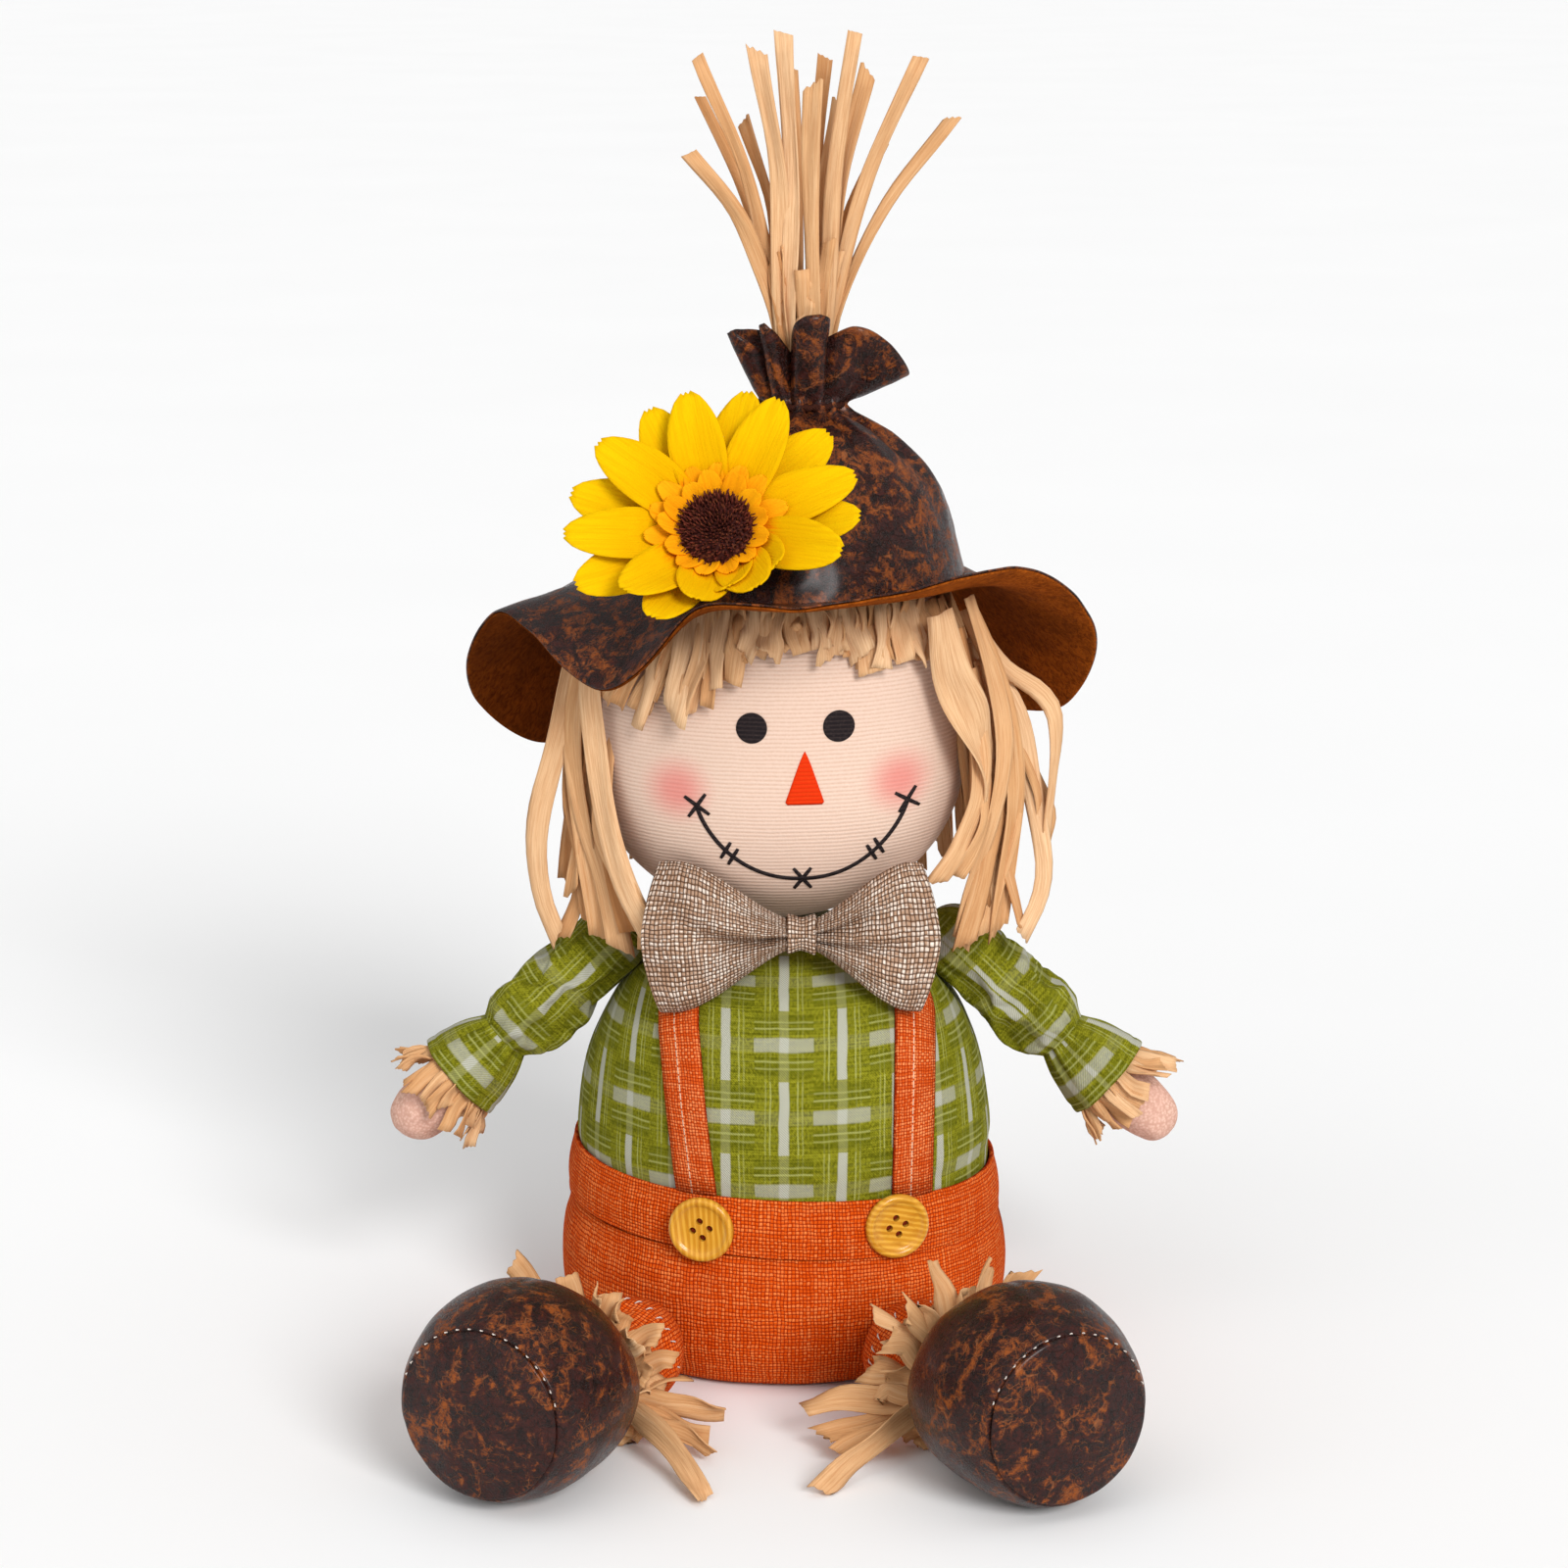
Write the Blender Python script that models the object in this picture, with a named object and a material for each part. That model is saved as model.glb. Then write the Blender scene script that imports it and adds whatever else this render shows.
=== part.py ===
"""Seated stuffed scarecrow figure: lengths in millimetres inside, metres in the scene. Front is -Y, +Z up."""

import math

import bmesh
import bpy
from mathutils import Vector

MM = 0.001

# Overall layout
FABRIC = 1.2  # thickness of the sewn cloth
GAP = 0.4  # clearance between neighbouring pieces
FILL_GAP = 1.2  # clearance of a filling inside its cover
BODY_RATIO = 0.96  # depth of the body over its width

# Body: (height, half width) of the outer cloth
TROUSERS = [(0.0, 58.5), (2.5, 62.5), (8.0, 66.0), (16.0, 68.0), (24.0, 68.4), (34.0, 67.6)]
SHIRT = [
    (46.0, 63.7),
    (60.0, 63.7),
    (74.0, 62.6),
    (88.0, 60.2),
    (98.0, 56.6),
    (106.0, 52.4),
    (113.0, 47.2),
    (119.0, 41.5),
    (124.5, 34.5),
    (128.5, 26.5),
    (130.6, 18.0),
]
BASE_R = 55.2
BASE_THICK = 1.2
BALLAST_R = 46.0
BALLAST_TOP = 15.0
WAIST_LOW = 43.4
WAIST_HIGH = 60.0
WAIST_TILT = 0.05  # the waistband sits lower on the figure's left
WAIST_R = 66.6

# Straps and buttons
STRAP_W = 11.6
STRAP_THICK = 1.3
STRAP_LIFT = 0.9
STRAP_X = {"left": (-25.6, -31.0, -31.0), "right": (37.8, 38.6, 33.0)}  # at the waist, chest and shoulder
BUTTON_R = 9.9
BUTTON_THICK = 3.2
BUTTON_AT = {"left": (-24.1, 51.7), "right": (33.0, 51.4)}
BUTTON_HOLE_R = 1.0
BUTTON_HOLE_OUT = 2.55

# Bow tie: (x from the knot, middle height from the knot, half height, half thickness)
BOW_AT = (5.2, -41.0, 137.2)
BOW_SECTIONS = [
    (-47.5, -1.0, 15.0, 2.0),
    (-44.0, -1.0, 21.5, 4.0),
    (-36.0, -1.2, 21.5, 6.0),
    (-24.0, -1.0, 17.5, 6.5),
    (-12.0, -0.6, 11.5, 5.0),
    (-5.2, 0.0, 5.0, 3.4),
    (0.0, 0.0, 3.6, 3.0),
    (5.2, 0.0, 5.0, 3.4),
    (12.0, -0.6, 11.5, 5.0),
    (22.0, -1.0, 17.0, 6.5),
    (31.0, -1.2, 21.0, 6.0),
    (38.5, -1.0, 21.5, 4.0),
    (42.0, -1.0, 15.0, 2.0),
]
KNOT_HALF_W = 4.4

# Head: an egg standing on its flat end
HEAD_AT = (-2.3, 0.0, 184.0)
HEAD_RX = 57.6
HEAD_RY = 48.5
HEAD_DOWN = 50.5
HEAD_UP = 80.0

# Hat: (height, radius) of the crown, gathered by a cord under an open frill
CROWN = [
    (239.7, 54.9),
    (246.0, 53.0),
    (254.0, 49.6),
    (262.0, 45.6),
    (271.0, 39.6),
    (278.0, 32.0),
    (283.0, 24.0),
    (286.5, 16.5),
    (289.5, 12.0),
    (292.5, 12.0),
    (297.0, 15.0),
    (303.0, 19.5),
    (309.5, 23.0),
]
CROWN_X = (-1.0, 5.3, 9.0)  # at the base, the tie and the top of the frill
CROWN_THICK = 1.4
TIE_Z = 291.0
BRIM_Z = 239.2
BRIM_IN = 51.0
BRIM_FLAT = 56.0
BRIM_THICK = 1.5
# Edge of the brim: (degrees from the front towards +X, radius, height)
BRIM_EDGE = [
    (-123, 91, 176),
    (-102, 96, 195),
    (-87, 95, 215),
    (-75, 88, 231),
    (-62, 84, 229),
    (-50, 82, 220),
    (-38, 82, 216),
    (-27, 84, 226),
    (-15, 89, 244),
    (4, 92, 245),
    (25, 88, 248),
    (45, 81, 249),
    (62, 82, 247),
    (77, 89, 237),
    (90, 96, 220),
    (102, 97, 203),
    (117, 97, 188),
    (140, 94, 186),
    (165, 90, 196),
    (190, 90, 196),
    (215, 91, 180),
]

# Raffia
STRAW = 1.0  # thickness of a strip
TUFT_STEM_R = 7.6
TUFT_LOW = 285.0
TUFT_NECK = 327.0
# Tips of the tuft: (x, y, z, width)
TUFT_TIPS = [
    (-25, -6, 394, 4.0),
    (-25, 8, 381, 3.0),
    (-28, -12, 365, 4.5),
    (-7, -10, 396, 6.0),
    (0, 14, 401, 5.0),
    (9, -12, 387, 5.5),
    (12, 16, 394, 4.5),
    (21, -9, 401, 5.0),
    (25, 10, 389, 5.0),
    (40, -5, 393, 4.5),
    (50, 3, 376, 4.0),
    (-10, 18, 372, 5.0),
]

# Sunflower, seen along its own axis
FLOWER_AT = (-19.0, -56.6, 260.2)
FLOWER_AXIS = (-0.10, -0.84, 0.53)
PETAL_RING = (9.0, 12.6)
PETAL_THICK = 0.8
PETAL_HALF_W = 5.8
PETAL_FLAT = 8.0  # a petal runs flat this far before it bends forward
PETAL_LEVELS = (1.0, -1.5)  # the front and the back ring along the axis
# Petals from the first one on, every 40 degrees: (length, degrees of bend). The low ones curl up at the brim
PETALS_FRONT = (105, [(43, 12), (44, 12), (44, 12), (36, 34), (23, 62), (25, 62), (41, 24), (42, 12), (43, 12)])
PETALS_BACK = (85, [(44, 9), (44, 9), (44, 9), (43, 12), (38, 28), (23, 57), (24, 55), (42, 12), (43, 9)])

# Arms, measured along each one from its seam at the shoulder
SHOULDER = (52.8, 0.0, 124.6)
ARM_AXIS = (0.745, -0.09, -0.66)
ARM_END_R = 11.4
ARM = [(6.0, 11.6), (16.0, 12.2), (26.0, 13.0), (34.0, 13.1), (40.0, 11.5), (44.0, 8.8)]
CUFF = [(47.0, 8.8), (50.0, 10.4), (55.0, 12.4), (61.0, 13.8), (64.0, 14.2)]
HAND = [(45.0, 5.0), (54.0, 6.5), (64.0, 8.6), (72.0, 10.2), (79.0, 10.4), (85.0, 8.6), (89.0, 4.6)]

# Legs, measured along each one from its seam at the hip
HIP = {"left": (-45.5, -73.0, 17.6), "right": (39.5, -76.0, 17.6)}
LEG_AXIS = {"left": (-0.42, -0.907, 0.0), "right": (0.42, -0.907, 0.0)}
LEG_END_R = 16.2
LEG = [(6.0, 16.4), (16.0, 16.2), (24.0, 15.4)]
ANKLE_T = 26.5
# Shoe: (distance, half width, half height, height of the middle)
SHOE = [
    (31.0, 14.5, 14.0, 17.0),
    (38.0, 20.5, 20.0, 22.5),
    (47.0, 26.5, 25.6, 27.2),
    (59.0, 30.6, 29.8, 30.0),
    (72.0, 31.0, 30.4, 30.4),
    (84.0, 28.6, 28.2, 29.8),
    (92.0, 24.2, 25.0, 30.0),
]
SOLE = [(92.6, 23.4, 24.2), (95.6, 20.5, 21.5), (97.8, 13.0, 14.0)]

COLOURS = {
    "stuffing": ((0.86, 0.86, 0.84), 0.9),
    "ballast": ((0.62, 0.60, 0.56), 0.8),
    "trouser_cloth": ((0.70, 0.11, 0.012), 0.85),
    "shirt_cloth": ((0.24, 0.31, 0.014), 0.8),
    "strap_cloth": ((0.76, 0.13, 0.015), 0.85),
    "button": ((0.62, 0.34, 0.035), 0.35),
    "burlap": ((0.43, 0.31, 0.19), 0.95),
    "face_knit": ((0.88, 0.66, 0.50), 0.8),
    "hat_leather": ((0.05, 0.012, 0.006), 0.35),
    "tie_cord": ((0.05, 0.02, 0.01), 0.6),
    "raffia": ((0.75, 0.46, 0.21), 0.7),
    "petal": ((0.90, 0.55, 0.005), 0.6),
    "floret": ((0.95, 0.38, 0.01), 0.6),
    "flower_centre": ((0.03, 0.004, 0.003), 0.9),
    "flower_backing": ((0.10, 0.20, 0.03), 0.6),
    "elastic": ((0.80, 0.80, 0.76), 0.7),
    "hand_knit": ((0.70, 0.44, 0.31), 0.8),
    "shoe_leather": ((0.05, 0.012, 0.006), 0.35),
}


def material(slot):
    """The Principled material of one slot, made once."""
    found = bpy.data.materials.get(slot)
    if found:
        return found
    colour, roughness = COLOURS[slot]
    made = bpy.data.materials.new(slot)
    made.use_nodes = True
    shader = made.node_tree.nodes["Principled BSDF"]
    shader.inputs["Base Color"].default_value = (*colour, 1.0)
    shader.inputs["Roughness"].default_value = roughness
    return made


def smooth(points, value):
    """Value of a rounded curve through a rising table of points."""
    if value <= points[0][0]:
        return points[0][1]
    for i in range(len(points) - 1):
        x0, y0 = points[i][:2]
        x1, y1 = points[i + 1][:2]
        if value > x1:
            continue
        before = points[max(i - 1, 0)]
        after = points[min(i + 2, len(points) - 1)]
        rise0 = (y1 - before[1]) / (x1 - before[0])
        rise1 = (after[1] - y0) / (after[0] - x0)
        t = (value - x0) / (x1 - x0)
        d = x1 - x0
        bend0 = (t**3 - 2 * t**2 + t) * d * rise0
        bend1 = (t**3 - t**2) * d * rise1
        return (2 * t**3 - 3 * t**2 + 1) * y0 + bend0 + (3 * t**2 - 2 * t**3) * y1 + bend1
    return points[-1][1]


def loft(bm, rings, closed=False, flat_ends=False):
    """Skin a row of rings; the ends are capped unless the row closes on itself. Returns the faces by ring and side."""
    rows = [[bm.verts.new(Vector(p)) for p in ring] for ring in rings]
    count = len(rows[0])
    faces = []
    last = len(rows) if closed else len(rows) - 1
    for k in range(last):
        a = rows[k]
        b = rows[(k + 1) % len(rows)]
        faces.append([bm.faces.new((a[i], a[(i + 1) % count], b[(i + 1) % count], b[i])) for i in range(count)])
    if closed:
        return faces
    for row, turn in ((rows[0], True), (rows[-1], False)):
        order = row[::-1] if turn else row
        if flat_ends or count == 4:
            bm.faces.new(order)
            continue
        middle = bm.verts.new(sum((v.co for v in row), Vector()) / count)
        for i in range(count):
            bm.faces.new((order[i], order[(i + 1) % count], middle))
    return faces


def grow(bm, face, stations):
    """Draw a strip out of a four-sided face: stations are (centre, half width, half thickness) vectors."""
    loop = list(face.verts)
    middle = face.calc_center_median()
    _, wide, thick = stations[0]
    # corners in order round the face, each matched to the nearest corner of the strip
    corners = [(-1, -1), (1, -1), (1, 1), (-1, 1)]
    first = [wide * sx + thick * sy for sx, sy in corners]
    best = None
    for turn in (1, -1):
        for start in range(4):
            order = [(start + turn * i) % 4 for i in range(4)]
            miss = sum((loop[i].co - middle - first[order[i]]).length for i in range(4))
            if best is None or miss < best[0]:
                best = (miss, order)
    order = best[1]
    bm.faces.remove(face)
    previous = loop
    for centre, wide, thick in stations:
        spots = [centre + wide * sx + thick * sy for sx, sy in corners]
        row = [bm.verts.new(spots[k]) for k in order]
        for i in range(4):
            bm.faces.new((previous[i], previous[(i + 1) % 4], row[(i + 1) % 4], row[i]))
        previous = row
    bm.faces.new(previous)


def place(name, bm, slot, pivot=(0.0, 0.0, 0.0)):
    """Turn millimetre geometry into a named object whose origin is at its pivot."""
    bmesh.ops.recalc_face_normals(bm, faces=bm.faces)
    bmesh.ops.translate(bm, verts=bm.verts, vec=-Vector(pivot))
    bmesh.ops.scale(bm, verts=bm.verts, vec=(MM, MM, MM))
    mesh = bpy.data.meshes.new(name)
    bm.to_mesh(mesh)
    bm.free()
    mesh.materials.append(material(slot))
    piece = bpy.data.objects.new(name, mesh)
    piece.location = Vector(pivot) * MM
    bpy.context.scene.collection.objects.link(piece)
    return piece


def solid(name, rings, slot, closed=False, pivot=(0.0, 0.0, 0.0)):
    bm = bmesh.new()
    loft(bm, rings, closed)
    return place(name, bm, slot, pivot)


def oval(cx, cy, z, rx, ry, count):
    """A level ring that starts at the front and runs towards +X."""
    turns = [2 * math.pi * i / count for i in range(count)]
    return [(cx + rx * math.sin(a), cy - ry * math.cos(a), z) for a in turns]


def body_ring(z, radius, count=24):
    return oval(0, 0, z, radius, radius * BODY_RATIO, count)


# ---------------------------------------------------------------- body


def base_panel():
    rings = [body_ring(z, BASE_R) for z in (0.0, BASE_THICK)]
    solid("base_panel", rings, "trouser_cloth")


def ballast_bag():
    profile = [(2.0, 30), (2.6, 40), (6.0, 45), (10.0, 44), (13.5, 36), (15.0, 20)]
    solid("ballast_bag", [body_ring(z, r, 16) for z, r in profile], "ballast")


def torso_stuffing():
    """Fibre filling, hollowed from below for the bag of pellets."""
    hollow = [(16.6, 20), (15.4, 37), (11.0, 46.5), (2.0, 46.5)]
    low = [(2.0, 56.0), (3.5, 60.4), (9.0, 64.0), (20.0, 66.2), (33.0, 65.6), (38.5, 63.4), (45.0, 62.0)]
    high = [(z, smooth(SHIRT, z) - FABRIC - FILL_GAP) for z in (60, 74, 88, 98, 106, 113, 119, 124)]
    high.append((126.6, 25.0))
    solid("torso_stuffing", [body_ring(z, r, 16) for z, r in hollow + low + high], "stuffing")


def trousers():
    """Lower cover of the body, cut level below and to the waistband's slope above."""
    top = WAIST_LOW - GAP

    def ring(z, radius):
        slope = max(0.0, (z - 20.0) / (top - 20.0))
        return [(x, y, h + slope * waist_drop(x)) for x, y, h in body_ring(z, radius)]

    profile = TROUSERS + [(top, WAIST_R)]
    outside = [ring(z, r) for z, r in profile]
    inside = [ring(z, r - FABRIC) for z, r in profile]
    solid("trousers", outside + inside[::-1], "trouser_cloth", closed=True)


def waist_drop(x):
    return -WAIST_TILT * x


def waistband():
    count = 24
    levels = [(WAIST_LOW, WAIST_R), (52.0, 66.4), (WAIST_HIGH, 65.7)]
    rings = []
    for z, r in levels:
        rings.append([(x, y, h + waist_drop(x)) for x, y, h in body_ring(z, r, count)])
    for z, r in levels[::-1]:
        rings.append([(x, y, h + waist_drop(x)) for x, y, h in body_ring(z, 64.15, count)])
    solid("waistband", rings, "trouser_cloth", closed=True)


def shirt():
    """Upper cover of the body: open below, its edge tucked inside the waistband."""
    inside = [body_ring(z, smooth(SHIRT, z) - FABRIC) for z, _ in SHIRT[:-2]]
    inside.append(body_ring(127.4, 25.4))
    outside = [body_ring(z, r) for z, r in SHIRT]
    solid("shirt", inside[::-1] + outside, "shirt_cloth")


def surface(x, y):
    """Point and outward direction on the upper cover, above its chest, where it turns in over the shoulders."""
    reach = math.hypot(x, y / BODY_RATIO)
    low, high = 96.0, SHIRT[-1][0]
    for _ in range(40):
        middle = (low + high) / 2
        if smooth(SHIRT, middle) > reach:
            low = middle
        else:
            high = middle
    return direction(x, y, low)


def wall(x, z, front):
    """Point and outward direction on the cover at a height, on its front or back."""
    radius = smooth(SHIRT, z)
    y = BODY_RATIO * math.sqrt(radius**2 - x**2)
    return direction(x, -y if front else y, z)


def direction(x, y, z):
    step = 1.5
    slope = (smooth(SHIRT, z + step) - smooth(SHIRT, z - step)) / (2 * step)
    radius = max(math.hypot(x, y), 1.0)
    return Vector((x, y, z)), Vector((x / radius, y / radius, -slope)).normalized()


def strap(side):
    """A flat band from the front of the waist over the shoulder to the back of the waist."""
    low_x, chest_x, high_x = STRAP_X[side]
    path = []
    for front in (True, False):
        rise = [61.2, 68, 76, 84, 92, 99]
        for z in rise if front else rise[::-1]:
            z = z + waist_drop(low_x) if z < 65 else z
            x = low_x + ((chest_x if front else high_x) - low_x) * (z - 60) / 40
            path.append([wall(x + e * STRAP_W / 2, z, front) for e in (-1, 0, 1)])
        if front:
            half = abs(path[-1][1][0].y)
            for k in range(1, 8):
                y = -half * math.cos(math.pi * k / 8)
                x = chest_x + (high_x - chest_x) * min(k / 3, 1)
                path.append([surface(x + e * STRAP_W / 2, y) for e in (-1, 0, 1)])
    rings = []
    for points in path:
        under = [p + n * STRAP_LIFT for p, n in points]
        over = [p + n * (STRAP_LIFT + STRAP_THICK) for p, n in points]
        rings.append(under + over[::-1])
    solid("strap_" + side, rings, "strap_cloth")


def button(side):
    """A turned four-hole button with a rounded rim."""
    x, z = BUTTON_AT[side]
    radius = WAIST_R
    y = -BODY_RATIO * math.sqrt(radius**2 - x**2)
    out = Vector((x, y / BODY_RATIO**2, 0)).normalized()
    right = Vector((-out.y, out.x, 0))
    if right.x < 0:
        right = -right
    up = Vector((0, 0, 1))
    at = Vector((x, y, z)) + out * (GAP + 0.15)
    profile = [(0.0, 8.9), (0.8, 9.8), (2.1, BUTTON_R), (3.0, 9.3), (3.2, 8.5), (2.9, 7.7), (2.1, 7.1)]

    def spin(t, r, count, cu=0.0, cv=0.0):
        turns = [2 * math.pi * i / count for i in range(count)]
        return [at + out * t + right * (cu + r * math.cos(a)) + up * (cv + r * math.sin(a)) for a in turns]

    piece = solid("button_" + side, [spin(t, r, 16) for t, r in profile], "button")
    for k in range(4):
        a = math.radians(10 + 90 * k)
        cu = BUTTON_HOLE_OUT * math.cos(a)
        cv = BUTTON_HOLE_OUT * math.sin(a)
        rings = [spin(t, BUTTON_HOLE_R, 6, cu, cv) for t in (-1.0, 4.0)]
        drill = solid("drill", rings, "button")
        cut = piece.modifiers.new("hole", "BOOLEAN")
        cut.operation = "DIFFERENCE"
        cut.solver = "EXACT"
        cut.object = drill
        ready = bpy.context.evaluated_depsgraph_get()
        shaped = bpy.data.meshes.new_from_object(piece.evaluated_get(ready))
        piece.modifiers.clear()
        piece.data = shaped
        bpy.data.objects.remove(drill, do_unlink=True)


def bow_section(x, middle, tall, thick):
    """A rounded upright outline of the bow, eight points."""
    bx, by, bz = BOW_AT
    ring = []
    for v, u in ((1, 0.35), (1, -0.35), (0.55, -1), (-0.55, -1), (-1, -0.35), (-1, 0.35), (-0.55, 1), (0.55, 1)):
        ring.append((bx + x, by + u * thick, bz + middle + v * tall))
    return ring


def bow_tie():
    solid("bow_tie_wings", [bow_section(*s) for s in BOW_SECTIONS], "burlap")
    outside = [(-KNOT_HALF_W, 4.5), (-3.2, 5.4), (3.2, 5.4), (KNOT_HALF_W, 4.5)]
    inside = [(-KNOT_HALF_W, 4.9), (0.0, 4.4), (KNOT_HALF_W, 4.9)]
    rings = [bow_section(x, 0, r + 1.6, r + 0.8) for x, r in outside]
    rings += [bow_section(x, 0, r + 0.3, r - 0.55) for x, r in inside[::-1]]
    solid("bow_tie_knot", rings, "burlap", closed=True)


# ---------------------------------------------------------------- head


def head_radius(z):
    """Share of the head's full width at a height."""
    away = z - HEAD_AT[2]
    if away < 0:
        return math.sqrt(max(1 - (-away / HEAD_DOWN) ** 2, 0.0))
    return math.sqrt(max(1 - (away / HEAD_UP) ** 2.6, 0.0))


def head_ring(z, grow_by=0.0, count=20):
    share = head_radius(z)
    cx, cy, _ = HEAD_AT
    return oval(cx, cy, z, HEAD_RX * share + grow_by, HEAD_RY * share + grow_by, count)


def head():
    heights = [134.2, 138, 145, 155, 168, 184, 200, 216, 232, 245, 255, 261]
    outside = [head_ring(z) for z in heights]
    inside = [head_ring(z, -FABRIC) for z in heights[1:-1]]
    # the cover is a bag, open in a small neck hole below where the filling goes in
    neck = [oval(HEAD_AT[0], 0, z, 9, 8, 20) for z in (135.6, 134.2)]
    solid("head_cover", inside[::-1] + [neck[0], neck[1]] + outside, "face_knit")
    filling = [head_ring(z, -FABRIC - 1.6 * GAP - FILL_GAP, 12) for z in (142, 149, 158, 184, 210, 232, 246, 252)]
    solid("head_stuffing", filling, "stuffing")


def crown_x(z):
    low, tie, high = CROWN_X
    if z < TIE_Z:
        return low + (tie - low) * (z - CROWN[0][0]) / (TIE_Z - CROWN[0][0])
    return tie + (high - tie) * (z - TIE_Z) / (CROWN[-1][0] - TIE_Z)


def crown_ring(z, radius, count=20):
    """A ring of the crown: round below, folded into flutes above the cord."""
    flutes = max(0.0, (z - TIE_Z) / (CROWN[-1][0] - TIE_Z))
    ring = []
    for i in range(count):
        a = 2 * math.pi * i / count
        fold = math.cos(4 * a + 0.6)
        r = radius * (1 + 0.2 * flutes * fold)
        drop = flutes * (3.0 * fold - 4.5 * math.sin(a))
        depth = 1 - 0.25 * flutes
        ring.append((crown_x(z) + r * math.sin(a), -r * depth * math.cos(a), z + drop))
    return ring


def hat():
    outside = [crown_ring(z, r) for z, r in CROWN]
    inside = [crown_ring(z, r - CROWN_THICK) for z, r in CROWN]
    solid("hat_crown", outside + inside[::-1], "hat_leather", closed=True)
    around = 12.0
    rings = []
    for i in range(20):
        a = 2 * math.pi * i / 20
        ring = []
        for k in range(6):
            b = 2 * math.pi * k / 6
            r = around + 1.4 + math.cos(b)
            ring.append((crown_x(TIE_Z) + r * math.sin(a), -r * math.cos(a), TIE_Z + 1.0 * math.sin(b)))
        rings.append(ring)
    solid("hat_tie", rings, "tie_cord", closed=True)
    hat_brim()


def brim_edge(degrees):
    """Radius and height of the brim's edge in one direction; the table goes round."""
    turns = [(d + turn, r, z) for turn in (-360, 0, 360) for d, r, z in BRIM_EDGE]
    radius = smooth([(d, r) for d, r, _ in turns], degrees)
    height = smooth([(d, z) for d, _, z in turns], degrees)
    return radius, height


def hat_brim():
    count = 40
    shares = [0.0, 0.33, 0.67, 1.0]
    sections = []
    for i in range(count):
        a = 2 * math.pi * i / count
        radius, height = brim_edge(math.degrees(a))
        top = [(BRIM_IN, BRIM_Z)]
        for share in shares:
            r = BRIM_FLAT + (radius - BRIM_FLAT) * share
            top.append((r, BRIM_Z + (height - BRIM_Z) * share**1.25))
        outline = top + [(r, z - BRIM_THICK) for r, z in top[::-1]]
        sections.append([(CROWN_X[0] + r * math.sin(a), -r * math.cos(a), z) for r, z in outline])
    solid("hat_brim", sections, "hat_leather", closed=True)


def raffia_tuft():
    """Bundle of strips that stands in the gathered top of the hat."""
    bm = bmesh.new()
    lean = 6.0
    turns = []
    for i in range(len(TUFT_TIPS)):
        start = 2 * math.pi * i / len(TUFT_TIPS)
        turns += [start - 0.19, start + 0.19]
    profile = [(TUFT_LOW, 6.0), (289.0, TUFT_STEM_R), (300.0, TUFT_STEM_R), (TUFT_NECK, 8.6), (TUFT_NECK + 1.5, 5.6)]
    rings = []
    for z, r in profile:
        rings.append([(lean + r * math.sin(a), -r * math.cos(a), z) for a in turns])
    faces = loft(bm, rings)
    tips = sorted(TUFT_TIPS, key=lambda t: math.atan2(t[0] - lean, -t[1]) % (2 * math.pi))
    for k, (x, y, z, width) in enumerate(tips):
        draw_strip(bm, faces[3][2 * k], Vector((x, y, z)), width)
    place("raffia_tuft", bm, "raffia")


def draw_strip(bm, face, tip, width):
    """A flat strip from a face to a tip, turned with its broad side to the front."""
    start = face.calc_center_median()
    path = tip - start
    side = path.cross(Vector((0, -1, 0)))
    if side.length < 0.2 * path.length:
        side = Vector((1, 0, 0))
    side.normalize()
    thick = path.cross(side).normalized()
    stations = []
    for share, part in ((0.12, 0.55), (0.5, 1.0), (0.85, 0.9), (1.0, 0.45)):
        stations.append((start + path * share, side * width / 2 * part, thick * STRAW / 2))
    grow(bm, face, stations)


def hair_band(bm, from_deg, to_deg, strips, low, high, near, thick):
    """A sewn band round part of the head with alternating wide and narrow steps; returns the wide lower faces."""
    edges = []
    step = (to_deg - from_deg) / strips
    for i in range(strips):
        start = from_deg + i * step
        edges += [start + step * 0.06, start + step * 0.94]
    rings = []
    cx, cy, _ = HEAD_AT
    for degrees in edges:
        a = math.radians(degrees)
        ring = []
        for z, out in ((low, near), (low, near + thick), (high, near + thick), (high, near)):
            share = head_radius(z)
            rx = HEAD_RX * share + out
            ry = HEAD_RY * share + out
            ring.append((cx + rx * math.sin(a), cy - ry * math.cos(a), z))
        rings.append(ring)
    faces = loft(bm, rings)
    wide = [faces[2 * i][0] for i in range(strips)]
    middles = [from_deg + (i + 0.5) * step for i in range(strips)]
    return wide, middles, step


def hair(name, from_deg, to_deg, bottoms, flare, low=219.0, high=226.0):
    """Strips that hang from a band round the head, over its cheeks, each to its own height."""
    bm = bmesh.new()
    strips = len(bottoms)
    wide, middles, step = hair_band(bm, from_deg, to_deg, strips, low, high, 0.8, 2.2)
    cx, cy, _ = HEAD_AT
    for face, degrees, bottom in zip(wide, middles, bottoms):
        a = math.radians(degrees)
        out = Vector((math.sin(a), -math.cos(a), 0))
        side = Vector((math.cos(a), math.sin(a), 0))
        start = face.calc_center_median()
        width = (start - Vector((cx, cy, start.z))).length * math.radians(step) * 0.42
        stations = []
        steps = 3 if start.z - bottom > 40 else 2
        for k in range(1, steps + 1):
            z = start.z + (bottom - start.z) * k / steps
            lift = 1.9 + flare * (k / steps) ** 1.5
            share = head_radius(max(z, HEAD_AT[2] - 6))
            x = cx + (HEAD_RX * share + lift) * math.sin(a)
            y = cy - (HEAD_RY * share + lift) * math.cos(a)
            taper = 1.0 if k < steps else 0.7
            stations.append((Vector((x, y, z)), side * width * taper, out * STRAW / 2))
        grow(bm, face, stations)
    place(name, bm, "raffia")


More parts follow.
